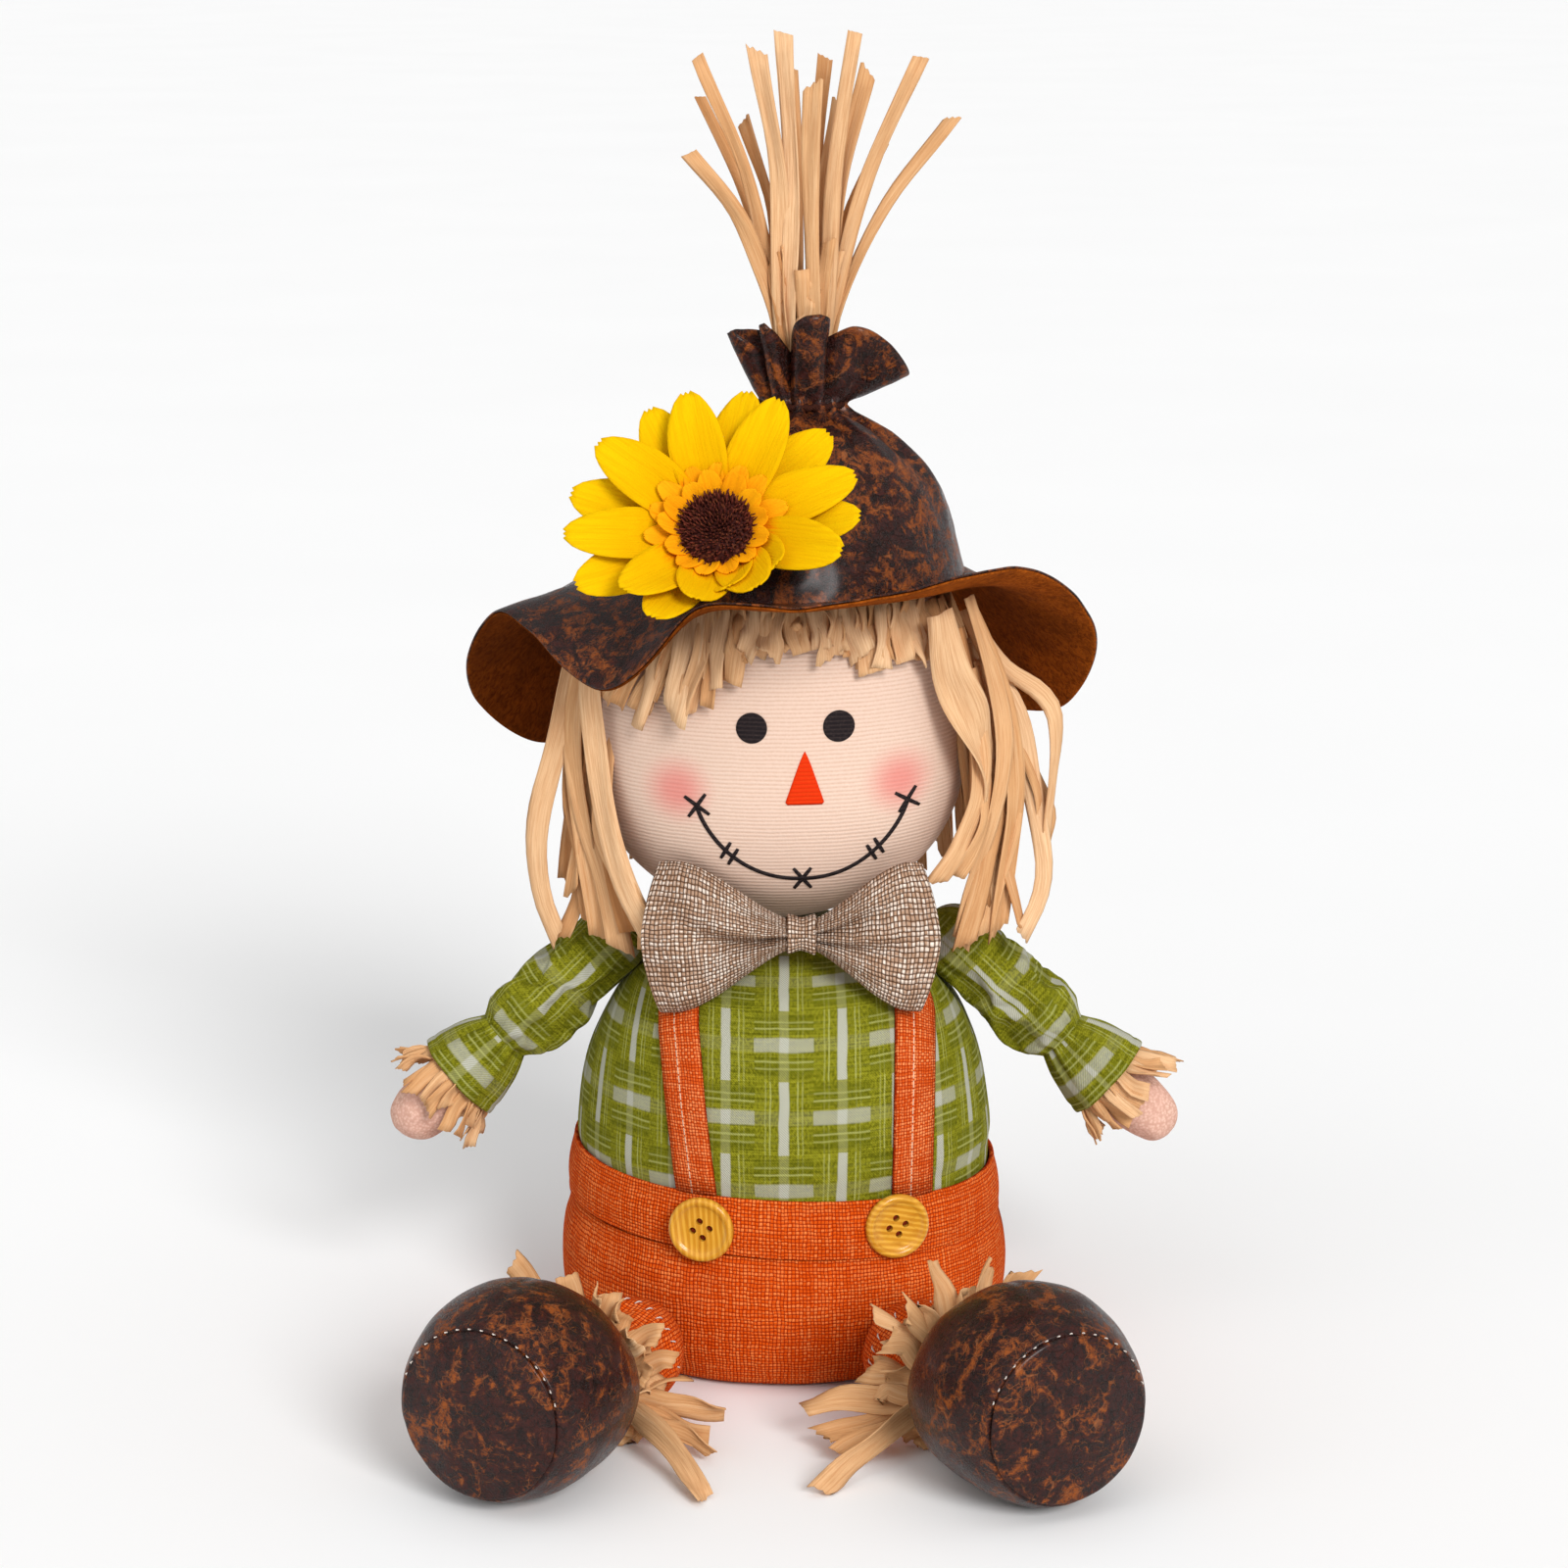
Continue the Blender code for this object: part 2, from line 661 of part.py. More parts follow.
def all_hair():
    hair("hair_fringe", -47, 47, [204, 208, 206, 212, 207, 216, 220, 222, 218, 221, 216, 214], 2.0, 227.0, 233.0)
    hair("hair_left", -112, -52, [150, 140, 134, 156, 136, 133], 9.0)
    hair("hair_right", 52, 112, [150, 136, 140, 134, 152, 146], 10.0)
    hair("hair_back", 118, 242, [148, 142, 150, 144, 140, 146, 151, 143, 147, 141, 149], 7.0)


# ---------------------------------------------------------------- sunflower


def flower_frame():
    axis = Vector(FLOWER_AXIS).normalized()
    right = axis.cross(Vector((0, 0, -1))).normalized()
    up = right.cross(axis).normalized()
    if up.z < 0:
        up = -up
    if right.x < 0:
        right = -right
    at = Vector(FLOWER_AT)
    return lambda r, a, t: at + right * (r * math.cos(a)) + up * (r * math.sin(a)) + axis * t


def petals(name, table, level):
    """A ring of cloth petals: each is drawn out of the ring and bent forward."""
    spot = flower_frame()
    inner, outer = PETAL_RING
    bm = bmesh.new()
    rings = []
    first, shapes = table
    middles = [math.radians(first + 360 * k / len(shapes)) for k in range(len(shapes))]
    for a in middles:
        for turn in (-0.24, 0.24):
            corners = ((outer, -0.9), (outer, 0.9), (inner, 0.9), (inner, -0.9))
            rings.append([spot(r, a + turn, level + t) for r, t in corners])
    faces = loft(bm, rings, closed=True)
    for k, (length, cup) in enumerate(shapes):
        a = middles[k]
        tilt = math.radians(cup)
        out = spot(1, a, 0) - spot(0, a, 0)
        lift = spot(0, a, 1) - spot(0, a, 0)
        side = spot(1, a + math.pi / 2, 0) - spot(0, a, 0)
        along = out * math.cos(tilt) + lift * math.sin(tilt)
        across = along.cross(side).normalized() * PETAL_THICK / 2
        start = spot(outer + PETAL_FLAT, a, level + 0.9)
        stations = [(start, side * PETAL_HALF_W * 0.85, across)]
        rest = length - outer - PETAL_FLAT
        for share, part in ((0.35, 1.0), (0.75, 0.66), (1.0, 0.12)):
            stations.append((start + along * rest * share, side * PETAL_HALF_W * part, across))
        grow(bm, faces[2 * k][0], stations)
    place(name, bm, "petal")


def florets():
    """Short petals that stand round the dark centre."""
    spot = flower_frame()
    bm = bmesh.new()
    strips = 14
    rings = []
    for i in range(strips):
        for turn in (-0.15, 0.15):
            a = 2 * math.pi * i / strips + turn
            rings.append([spot(r, a, t) for r, t in ((13.4, 2.3), (13.4, 4.0), (11.9, 4.0), (11.9, 2.3))])
    faces = loft(bm, rings, closed=True)
    for i in range(strips):
        a = 2 * math.pi * i / strips
        side = spot(1, a + math.pi / 2, 0) - spot(0, a, 0)
        lift = spot(0, a, 0.35) - spot(0, a, 0)
        stations = [(spot(17.0, a, 5.6), side * 1.9, lift), (spot(19.6, a, 7.4), side * 1.1, lift)]
        grow(bm, faces[2 * i][0], stations)
    place("sunflower_florets", bm, "floret")


def sunflower():
    spot = flower_frame()
    petals("sunflower_petals_front", PETALS_FRONT, PETAL_LEVELS[0])
    petals("sunflower_petals_back", PETALS_BACK, PETAL_LEVELS[1])
    florets()

    def ring(r, t, count=20):
        return [spot(r, 2 * math.pi * i / count, t) for i in range(count)]

    dome = [(11.3, 2.4), (11.5, 4.2), (10.2, 6.4), (7.2, 8.0), (3.6, 8.2)]
    solid("sunflower_centre", [ring(r, t) for r, t in dome], "flower_centre")
    plug = [(8.0, -10.9), (11.5, -6.4), (11.0, -3.2), (8.5, -2.8), (8.5, 2.0)]
    solid("sunflower_backing", [ring(r, t, 16) for r, t in plug], "flower_backing")


# ---------------------------------------------------------------- limbs


def limb(origin, axis):
    """Places a point at (across, above, along) a limb."""
    at = Vector(origin)
    along = Vector(axis).normalized()
    above = (Vector((0, 0, 1)) - along * along.z).normalized()
    across = along.cross(above).normalized()
    return lambda u, v, t: at + across * u + above * v + along * t


def limb_ring(spot, t, ru, rv, count=16, lift=0.0):
    turns = [2 * math.pi * i / count for i in range(count)]
    return [spot(ru * math.cos(a), lift + rv * math.sin(a), t) for a in turns]


def round_end(spot, radius, count, shrink=0.0):
    """Rings of the ball-shaped inner end of a limb, from its tip."""
    rings = []
    for degrees in (68, 45, 20):
        a = math.radians(degrees)
        r = radius - shrink
        rings.append(limb_ring(spot, -r * math.sin(a), r * math.cos(a), r * math.cos(a), count))
    return rings


def mirrored(vector, side):
    x, y, z = vector
    return (-x, y, z) if side == "left" else (x, y, z)


def arm(side):
    at = mirrored(SHOULDER, side)
    spot = limb(at, mirrored(ARM_AXIS, side))
    tag = "arm_" + side
    inside = round_end(spot, ARM_END_R, 12, FABRIC)
    inside += [limb_ring(spot, t, r - FABRIC, r - FABRIC, 12) for t, r in ARM]
    outside = round_end(spot, ARM_END_R, 12) + [limb_ring(spot, t, r, r, 12) for t, r in ARM]
    solid(tag + "_sleeve", inside + outside[::-1], "shirt_cloth", pivot=at)
    thin = FABRIC + FILL_GAP
    fill = round_end(spot, ARM_END_R, 10, thin)[1:]
    fill += [limb_ring(spot, t, r - thin, r - thin, 10) for t, r in ARM[:-1]]
    solid(tag + "_stuffing", fill, "stuffing", pivot=at)
    band = [(44.5, 8.6), (46.5, 8.6), (46.5, 6.6), (44.5, 6.6)]
    rings = [limb_ring(spot, t, r, r, 12) for t, r in band]
    solid(tag + "_elastic", rings, "elastic", closed=True, pivot=at)
    flare = [limb_ring(spot, t, r, r, 12) for t, r in CUFF]
    lining = [limb_ring(spot, t, r - 1.0, r - 1.0, 12) for t, r in CUFF]
    solid(tag + "_cuff", flare + lining[::-1], "shirt_cloth", closed=True, pivot=at)
    solid(tag + "_hand", [limb_ring(spot, t, r, r * 0.92, 12) for t, r in HAND], "hand_knit", pivot=at)
    wrist_raffia(tag, spot, at)


def wrist_raffia(tag, spot, at):
    """A fringe of short strips that comes out of the cuff round the hand."""
    bm = bmesh.new()
    strips = 12
    rings = []
    for i in range(strips):
        for turn in (-0.2, 0.2):
            a = 2 * math.pi * i / strips + turn
            corners = ((11.8, 62.0), (11.0, 58.0), (9.7, 58.0), (9.7, 62.0))
            rings.append([spot(r * math.cos(a), r * math.sin(a), t) for r, t in corners])
    faces = loft(bm, rings, closed=True)
    for i in range(strips):
        a = 2 * math.pi * i / strips
        out = spot(math.cos(a), math.sin(a), 0) - spot(0, 0, 0)
        side = spot(-math.sin(a), math.cos(a), 0) - spot(0, 0, 0)
        reach = 9.0 + 2.5 * math.sin(2.4 * i)
        start = faces[2 * i][3].calc_center_median()
        along = spot(0, 0, 1) - spot(0, 0, 0)
        thick = (out - along * 0.3).normalized() * 0.45
        stations = [
            (start + along * reach * 0.5 + out * 2.0, side * 2.5, thick),
            (start + along * reach + out * 4.6, side * 1.9, thick),
        ]
        grow(bm, faces[2 * i][3], stations)
    place(tag + "_raffia", bm, "raffia", at)


def leg(side):
    at = HIP[side]
    spot = limb(at, LEG_AXIS[side])
    tag = "leg_" + side
    inside = round_end(spot, LEG_END_R, 12, FABRIC)
    inside += [limb_ring(spot, t, r - FABRIC, r - FABRIC, 12) for t, r in LEG]
    outside = round_end(spot, LEG_END_R, 12) + [limb_ring(spot, t, r, r, 12) for t, r in LEG]
    solid(tag + "_cover", inside + outside[::-1], "trouser_cloth", pivot=at)
    thin = FABRIC + FILL_GAP
    fill = round_end(spot, LEG_END_R, 10, thin)[1:] + [limb_ring(spot, t, r - thin, r - thin, 10) for t, r in LEG]
    solid(tag + "_stuffing", fill, "stuffing", pivot=at)
    shoe(tag, spot, at)
    ankle_raffia(tag, spot, at)


def shoe(tag, spot, at):
    count = 16
    floor = at[2]
    shell = 1.4
    outside = [limb_ring(spot, t, ru, rv, count, mid - floor) for t, ru, rv, mid in SHOE]
    inside = [limb_ring(spot, t, ru - shell, rv - shell, count, mid - floor) for t, ru, rv, mid in SHOE[1:]]
    inside.insert(0, limb_ring(spot, SHOE[0][0] + shell, 13.2, 12.7, count, SHOE[0][3] - floor))
    solid(tag + "_shoe_upper", inside + outside[::-1], "shoe_leather", pivot=at)
    middle = SHOE[-1][3] - floor
    rings = [limb_ring(spot, t, ru, rv, count, middle) for t, ru, rv in SOLE]
    solid(tag + "_shoe_sole", rings, "shoe_leather", pivot=at)
    fill = [limb_ring(spot, t, ru - shell - FILL_GAP, rv - shell - FILL_GAP, 10, mid - floor) for t, ru, rv, mid in SHOE[1:]]
    solid(tag + "_shoe_stuffing", fill, "stuffing", pivot=at)


def ankle_raffia(tag, spot, at):
    """A ruff of strips tied round the ankle: some stand off the leg, some lie along the floor."""
    bm = bmesh.new()
    strips = 13
    rings = []
    for i in range(strips):
        for turn in (-0.17, 0.17):
            a = 2 * math.pi * i / strips + turn
            corners = ((16.3, ANKLE_T), (16.3, ANKLE_T + 3.0), (13.0, ANKLE_T + 3.0), (13.0, ANKLE_T))
            lift = -0.8
            rings.append([spot(r * math.cos(a), lift + r * math.sin(a), t) for r, t in corners])
    faces = loft(bm, rings, closed=True)
    for i in range(strips):
        a = 2 * math.pi * i / strips
        face = faces[2 * i][0]
        out = spot(math.cos(a), math.sin(a), 0) - spot(0, 0, 0)
        side = spot(-math.sin(a), math.cos(a), 0) - spot(0, 0, 0)
        along = spot(0, 0, 1) - spot(0, 0, 0)
        start = face.calc_center_median()
        long = 13.0 + 3.0 * math.sin(1.9 * i)
        back = -3.5 + 2.0 * math.sin(2.7 * i)
        first = start + out * long * 0.4 + along * back * 0.3
        last = start + out * long + along * back
        for point in (first, last):
            point.z = max(point.z, 0.6 + 2.6 * abs(side.z))
        thick = along * 0.5
        grow(bm, face, [(first, side * 2.4, thick), (last, side * 1.8, thick)])
    place(tag + "_raffia", bm, "raffia", at)


def clear_scene():
    for piece in list(bpy.data.objects):
        bpy.data.objects.remove(piece, do_unlink=True)


def main():
    clear_scene()
    base_panel()
    ballast_bag()
    torso_stuffing()
    trousers()
    waistband()
    shirt()
    for side in ("left", "right"):
        strap(side)
        button(side)
    bow_tie()
    head()
    hat()
    raffia_tuft()
    all_hair()
    sunflower()
    for side in ("left", "right"):
        arm(side)
        leg(side)


main()
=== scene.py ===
"""Looks of the seated scarecrow figure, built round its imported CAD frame.

Lengths are millimetres inside and metres in the scene. Front is -Y, +Z up, and the figure's left is -X as seen.
"""

from math import cos, exp, pi, radians, sin, sqrt

import bmesh
import bpy
import numpy as np
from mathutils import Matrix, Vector, noise
from mathutils.bvhtree import BVHTree


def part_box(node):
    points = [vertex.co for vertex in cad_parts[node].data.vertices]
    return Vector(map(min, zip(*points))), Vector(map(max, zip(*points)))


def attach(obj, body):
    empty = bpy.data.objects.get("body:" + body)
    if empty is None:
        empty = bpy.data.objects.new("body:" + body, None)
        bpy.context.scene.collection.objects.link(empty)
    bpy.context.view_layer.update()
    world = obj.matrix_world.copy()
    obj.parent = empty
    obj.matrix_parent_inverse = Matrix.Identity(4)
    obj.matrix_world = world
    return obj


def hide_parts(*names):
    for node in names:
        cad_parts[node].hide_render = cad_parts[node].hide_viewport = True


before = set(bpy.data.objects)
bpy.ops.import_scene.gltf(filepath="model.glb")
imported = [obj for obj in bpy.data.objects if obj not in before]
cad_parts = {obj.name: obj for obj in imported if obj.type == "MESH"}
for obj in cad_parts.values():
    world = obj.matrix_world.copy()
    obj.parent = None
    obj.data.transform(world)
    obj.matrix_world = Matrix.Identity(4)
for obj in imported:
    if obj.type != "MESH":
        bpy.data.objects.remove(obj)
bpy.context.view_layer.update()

MM = 0.001
TAU = 2 * pi
CLOTH_MAP = "cloth"  # flat cloth coordinates of every piece, in millimetres
TINT = "tint"  # shade of one strip, petal or bristle, from 0 to 1


def box(node):
    """Lowest and highest corner of a CAD node in millimetres."""
    low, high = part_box(node)
    return np.array(low) / MM, np.array(high) / MM


# ---------------------------------------------------------------- sizes, from the frame where it has them

BODY_RATIO = 0.96
HEAD_LOW, HEAD_HIGH = box("head_cover")
BOW_LOW, BOW_HIGH = box("bow_tie_wings")
KNOT_LOW, KNOT_HIGH = box("bow_tie_knot")
BOW_MID_Y = (BOW_LOW[1] + BOW_HIGH[1]) / 2

# Body: (height, half width)
TROUSERS = [
    (0.4, 55.5), (1.6, 60.5), (4.5, 64.2), (10.0, 66.8), (18.0, 68.2), (26.0, 68.5), (36.0, 67.4), (46.0, 65.2),
]
SHIRT = [
    (50.0, 63.2), (60.0, 63.7), (74.0, 62.6), (88.0, 60.2), (98.0, 56.6), (106.0, 52.4), (113.0, 47.2), (119.0, 41.5),
    (124.5, 34.5), (128.5, 26.5), (130.6, 18.0),
]
WAIST_BAND = (43.0, 60.4)
WAIST_R = 66.2
WAIST_TILT = 0.05
STRAP_W = 11.6
STRAP_X = {"left": (-25.6, -31.0, -31.0), "right": (37.8, 38.8, 33.0)}  # at the waist, chest and shoulder
BUTTON_AT = {"left": (-24.1, 51.7), "right": (33.0, 51.4)}

HEAD_MID = np.array([(HEAD_LOW[0] + HEAD_HIGH[0]) / 2, 0.0, 184.0])
HEAD_RX = (HEAD_HIGH[0] - HEAD_LOW[0]) / 2
HEAD_RY = (HEAD_HIGH[1] - HEAD_LOW[1]) / 2
HEAD_DOWN = 50.5
HEAD_UP = 80.0

CROWN = [
    (238.6, 55.4), (246.0, 53.2), (254.0, 50.0), (262.0, 45.8), (271.0, 39.4), (278.0, 31.8), (283.0, 24.6),
    (286.5, 17.5), (289.5, 12.4), (291.0, 11.2),
]
CROWN_X = (-1.0, 5.3)
TIE_Z = 291.0
BRIM_Z = 239.2
BRIM_IN = 50.0
BRIM_FLAT = 55.5
# Edge of the brim: (degrees from the front towards +X, radius, height)
BRIM_EDGE = [
    (-123, 91, 176), (-102, 96, 195), (-87, 95, 215), (-75, 88, 231), (-62, 84, 229), (-50, 82, 220), (-38, 82, 216),
    (-27, 84, 226), (-15, 89, 244), (4, 92, 245), (25, 88, 248), (45, 81, 249), (62, 82, 247), (77, 89, 237),
    (90, 96, 220), (102, 97, 203), (117, 97, 188), (140, 94, 186), (165, 90, 196), (190, 90, 196), (215, 91, 180),
]

FLOWER_AT = (-19.0, -56.6, 260.2)
FLOWER_AXIS = (-0.10, -0.84, 0.53)

SHOULDER = (52.8, 0.0, 124.6)
ARM_AXIS = (0.745, -0.09, -0.66)
SLEEVE = [(0.0, 11.4), (6.0, 11.6), (16.0, 12.2), (26.0, 13.0), (34.0, 13.1), (40.0, 11.6), (44.0, 8.8), (46.5, 7.6)]
CUFF = [(44.5, 7.6), (47.0, 8.8), (50.0, 10.4), (55.0, 12.4), (61.0, 13.8), (64.5, 14.3)]
HAND = [(45.0, 5.0), (54.0, 6.5), (64.0, 8.6), (72.0, 10.2), (79.0, 10.4), (85.0, 8.6), (88.6, 5.0), (89.6, 2.0)]

HIP = {"left": (-45.5, -73.0, 17.6), "right": (39.5, -76.0, 17.6)}
LEG_AXIS = {"left": (-0.42, -0.907, 0.0), "right": (0.42, -0.907, 0.0)}
LEG = [(0.0, 16.2), (6.0, 16.4), (16.0, 16.2), (24.0, 15.2), (28.0, 13.4), (31.5, 12.4)]
ANKLE_T = 28.0
# Shoe: (distance, half width, half height, height of the middle)
SHOE = [
    (29.6, 11.5, 11.5, 16.6), (31.0, 14.5, 14.0, 17.0), (38.0, 20.5, 20.0, 22.5), (47.0, 26.5, 25.6, 27.2),
    (59.0, 30.6, 29.8, 30.0), (72.0, 31.0, 30.4, 30.6), (84.0, 28.6, 28.4, 30.2), (91.4, 25.0, 25.4, 30.2),
]
SOLE_R = (24.6, 25.0)
SOLE_BULGE = 5.6
SOLE_RIM = (0.2, 0.9, 1.7)  # how far its outer rows stand out


# ---------------------------------------------------------------- curves and places


def smooth(points, value):
    """Rounded curve through a rising table of points."""
    if value <= points[0][0]:
        return points[0][1]
    for i in range(len(points) - 1):
        x0, y0 = points[i][:2]
        x1, y1 = points[i + 1][:2]
        if value > x1:
            continue
        before = points[max(i - 1, 0)]
        after = points[min(i + 2, len(points) - 1)]
        rise0 = (y1 - before[1]) / (x1 - before[0])
        rise1 = (after[1] - y0) / (after[0] - x0)
        t = (value - x0) / (x1 - x0)
        d = x1 - x0
        bend = (t**3 - 2 * t**2 + t) * d * rise0 + (t**3 - t**2) * d * rise1
        return (2 * t**3 - 3 * t**2 + 1) * y0 + bend + (3 * t**2 - 2 * t**3) * y1
    return points[-1][1]


def ease(value, low=0.0, high=1.0):
    """0 below low, 1 above high, with a smooth step between."""
    t = np.clip((np.asarray(value, float) - low) / (high - low), 0.0, 1.0)
    return t * t * (3 - 2 * t)


def bump(value, middle, width):
    return np.exp(-(((np.asarray(value, float) - middle) / width) ** 2))


def ripple(points, size, seed, octaves=2):
    """Soft noise from -1 to 1 at points, with features of about the given size in millimetres."""
    flat = np.asarray(points, float).reshape(-1, 3) / size + 17.3 * seed
    values = np.zeros(len(flat))
    for k in range(octaves):
        scale = 2.0**k
        values += [noise.noise(Vector(p) * scale) / scale for p in flat]
    return values.reshape(np.asarray(points).shape[:-1])


def unit(vector):
    vector = np.asarray(vector, float)
    return vector / max(np.linalg.norm(vector), 1e-9)


def normals(points, wrap):
    """Outward directions of a table of points whose columns run towards +X at the front and whose rows rise."""
    across = np.roll(points, -1, 1) - np.roll(points, 1, 1) if wrap else np.gradient(points, axis=1)
    along = np.gradient(points, axis=0)
    n = np.cross(across, along)
    return n / np.maximum(np.linalg.norm(n, axis=2, keepdims=True), 1e-9)


def flat_map(points, wrap, start=(0.0, 0.0)):
    """Cloth coordinates of a table of points: its own lengths across and along."""
    closed = np.concatenate([points, points[:, :1]], axis=1) if wrap else points
    across = np.linalg.norm(np.diff(closed, axis=1), axis=2).mean(axis=0)
    along = np.linalg.norm(np.diff(closed, axis=0), axis=2).mean(axis=1)
    u = start[0] + np.concatenate([[0.0], np.cumsum(across)])
    v = start[1] + np.concatenate([[0.0], np.cumsum(along)])
    return np.stack(np.meshgrid(u, v), axis=2)


def limb(origin, axis):
    """Places a point at (across, above, along) a limb."""
    at = np.array(origin, float)
    along = unit(axis)
    above = unit(np.array([0, 0, 1.0]) - along * along[2])
    across = np.cross(along, above)
    times = np.multiply.outer
    return lambda u, v, t: at + times(u, across) + times(v, above) + times(t, along)


def mirrored(vector, side):
    x, y, z = vector
    return (-x, y, z) if side == "left" else (x, y, z)


# ---------------------------------------------------------------- meshes


class Piece:
    """Points, faces, cloth coordinates and tints of one piece, gathered in millimetres."""

    def __init__(self):
        self.points = []
        self.tints = []
        self.faces = []
        self.coords = []

    def add_points(self, points, tint):
        base = len(self.points)
        self.points += [tuple(p) for p in np.asarray(points, float).reshape(-1, 3)]
        self.tints += [tint] * (len(self.points) - base)
        return base

    def add_face(self, ids, coords, flip):
        turn = -1 if flip else 1
        self.faces.append(ids[::turn])
        self.coords.append(coords[::turn])

    def grid(self, points, coords, wrap=False, flip=False, tint=0.5):
        """Quads through a table of points; coords has one more column than points where the table wraps."""
        rows, cols = points.shape[:2]
        base = self.add_points(points, tint)
        for j in range(rows - 1):
            low, high = base + j * cols, base + (j + 1) * cols
            for i in range(cols if wrap else cols - 1):
                k = (i + 1) % cols
                flat = [coords[j, i], coords[j, i + 1], coords[j + 1, i + 1], coords[j + 1, i]]
                self.add_face([low + i, low + k, high + k, high + i], flat, flip)
        return base

    def fan(self, base, cols, row, coords, flip, tint=0.5):
        """Closes one end of a wrapped table with a fan round its middle."""
        ids = [base + row * cols + i for i in range(cols)]
        middle = self.add_points(np.mean([self.points[i] for i in ids], axis=0), tint)
        spread = np.array(coords[row]).mean(axis=0)
        for i in range(cols):
            self.add_face([ids[i], ids[(i + 1) % cols], middle], [coords[row, i], coords[row, i + 1], spread], flip)

    def closed(self, points, coords, tint=0.5):
        """A closed body: a wrapped table with both of its ends fanned shut."""
        base = self.grid(points, coords, wrap=True, tint=tint)
        cols = points.shape[1]
        self.fan(base, cols, 0, coords, True, tint)
        self.fan(base, cols, points.shape[0] - 1, coords, False, tint)

    def sheet(self, points, thick, coords=None, wrap=False, tint=0.5):
        """A sheet of even thickness round a table of points, closed at every edge."""
        if coords is None:
            coords = flat_map(points, wrap)
        out = normals(points, wrap) * (thick / 2)
        rows, cols = points.shape[:2]
        over = self.grid(points + out, coords, wrap, False, tint)
        under = self.grid(points - out, coords, wrap, True, tint)

        def edge(first, second, start, end, flip):
            ids = [under + first, under + second, over + second, over + first]
            self.add_face(ids, [coords[start], coords[end], coords[end], coords[start]], flip)

        for row, flip in ((0, False), (rows - 1, True)):
            for i in range(cols if wrap else cols - 1):
                edge(row * cols + i, row * cols + (i + 1) % cols, (row, i), (row, i + 1), flip)
        if wrap:
            return
        for col, flip in ((0, True), (cols - 1, False)):
            for j in range(rows - 1):
                edge(j * cols + col, (j + 1) * cols + col, (j, col), (j + 1, col), flip)

    def make(self, name, finish, slot, body="torso", replaces=None, weld=False):
        """Turns what was gathered into an object on a body. It stands for the node of its name, or those given."""
        mesh = bpy.data.meshes.new(name)
        mesh.from_pydata([Vector(p) * MM for p in self.points], [], self.faces)
        layer = mesh.uv_layers.new(name=CLOTH_MAP)
        layer.data.foreach_set("uv", np.array([c for face in self.coords for c in face], np.float32).ravel())
        tints = mesh.attributes.new(TINT, "FLOAT", "POINT")
        tints.data.foreach_set("value", np.array(self.tints, np.float32))
        if weld:
            edit(mesh, lambda bm: bmesh.ops.remove_doubles(bm, verts=bm.verts, dist=1e-6))
        mesh.polygons.foreach_set("use_smooth", [True] * len(mesh.polygons))
        mesh.materials.append(FINISH[finish])
        piece = bpy.data.objects.new(name, mesh)
        bpy.context.scene.collection.objects.link(piece)
        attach(piece, body)
        replaces = (name,) if replaces is None else replaces
        if replaces:
            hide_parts(*replaces)
        return piece


def solid(table, name, finish, slot, body="torso", replaces=None, weld=False):
    """A closed piece from one table of points that goes round."""
    piece = Piece()
    piece.closed(table, flat_map(table, True))
    return piece.make(name, finish, slot, body, replaces, weld)


def ring_sheet(table, thick, name, finish, slot, body="torso"):
    """A piece that is one sheet round a table of points that goes round."""
    piece = Piece()
    piece.sheet(table, thick, wrap=True)
    return piece.make(name, finish, slot, body)


def edit(mesh, change):
    """Runs one bmesh change on a mesh."""
    bm = bmesh.new()
    bm.from_mesh(mesh)
    change(bm)
    bm.to_mesh(mesh)
    bm.free()


def fix_normals(piece):
    edit(piece.data, lambda bm: bmesh.ops.recalc_face_normals(bm, faces=bm.faces))


def crease(piece, degrees):
    """Keeps edges that turn by more than this sharp."""

    def sharpen(bm):
        for edge in bm.edges:
            if len(edge.link_faces) == 2 and edge.calc_face_angle() > radians(degrees):
                edge.smooth = False

    edit(piece.data, sharpen)


def divide(piece):
    """Adds one level of subdivision."""
    made = piece.modifiers.new("divide", "SUBSURF")
    made.levels = made.render_levels = 1
    made.boundary_smooth = "PRESERVE_CORNERS"


SIM_SCALE = 10.0  # the cloth solver works on a copy ten times the size


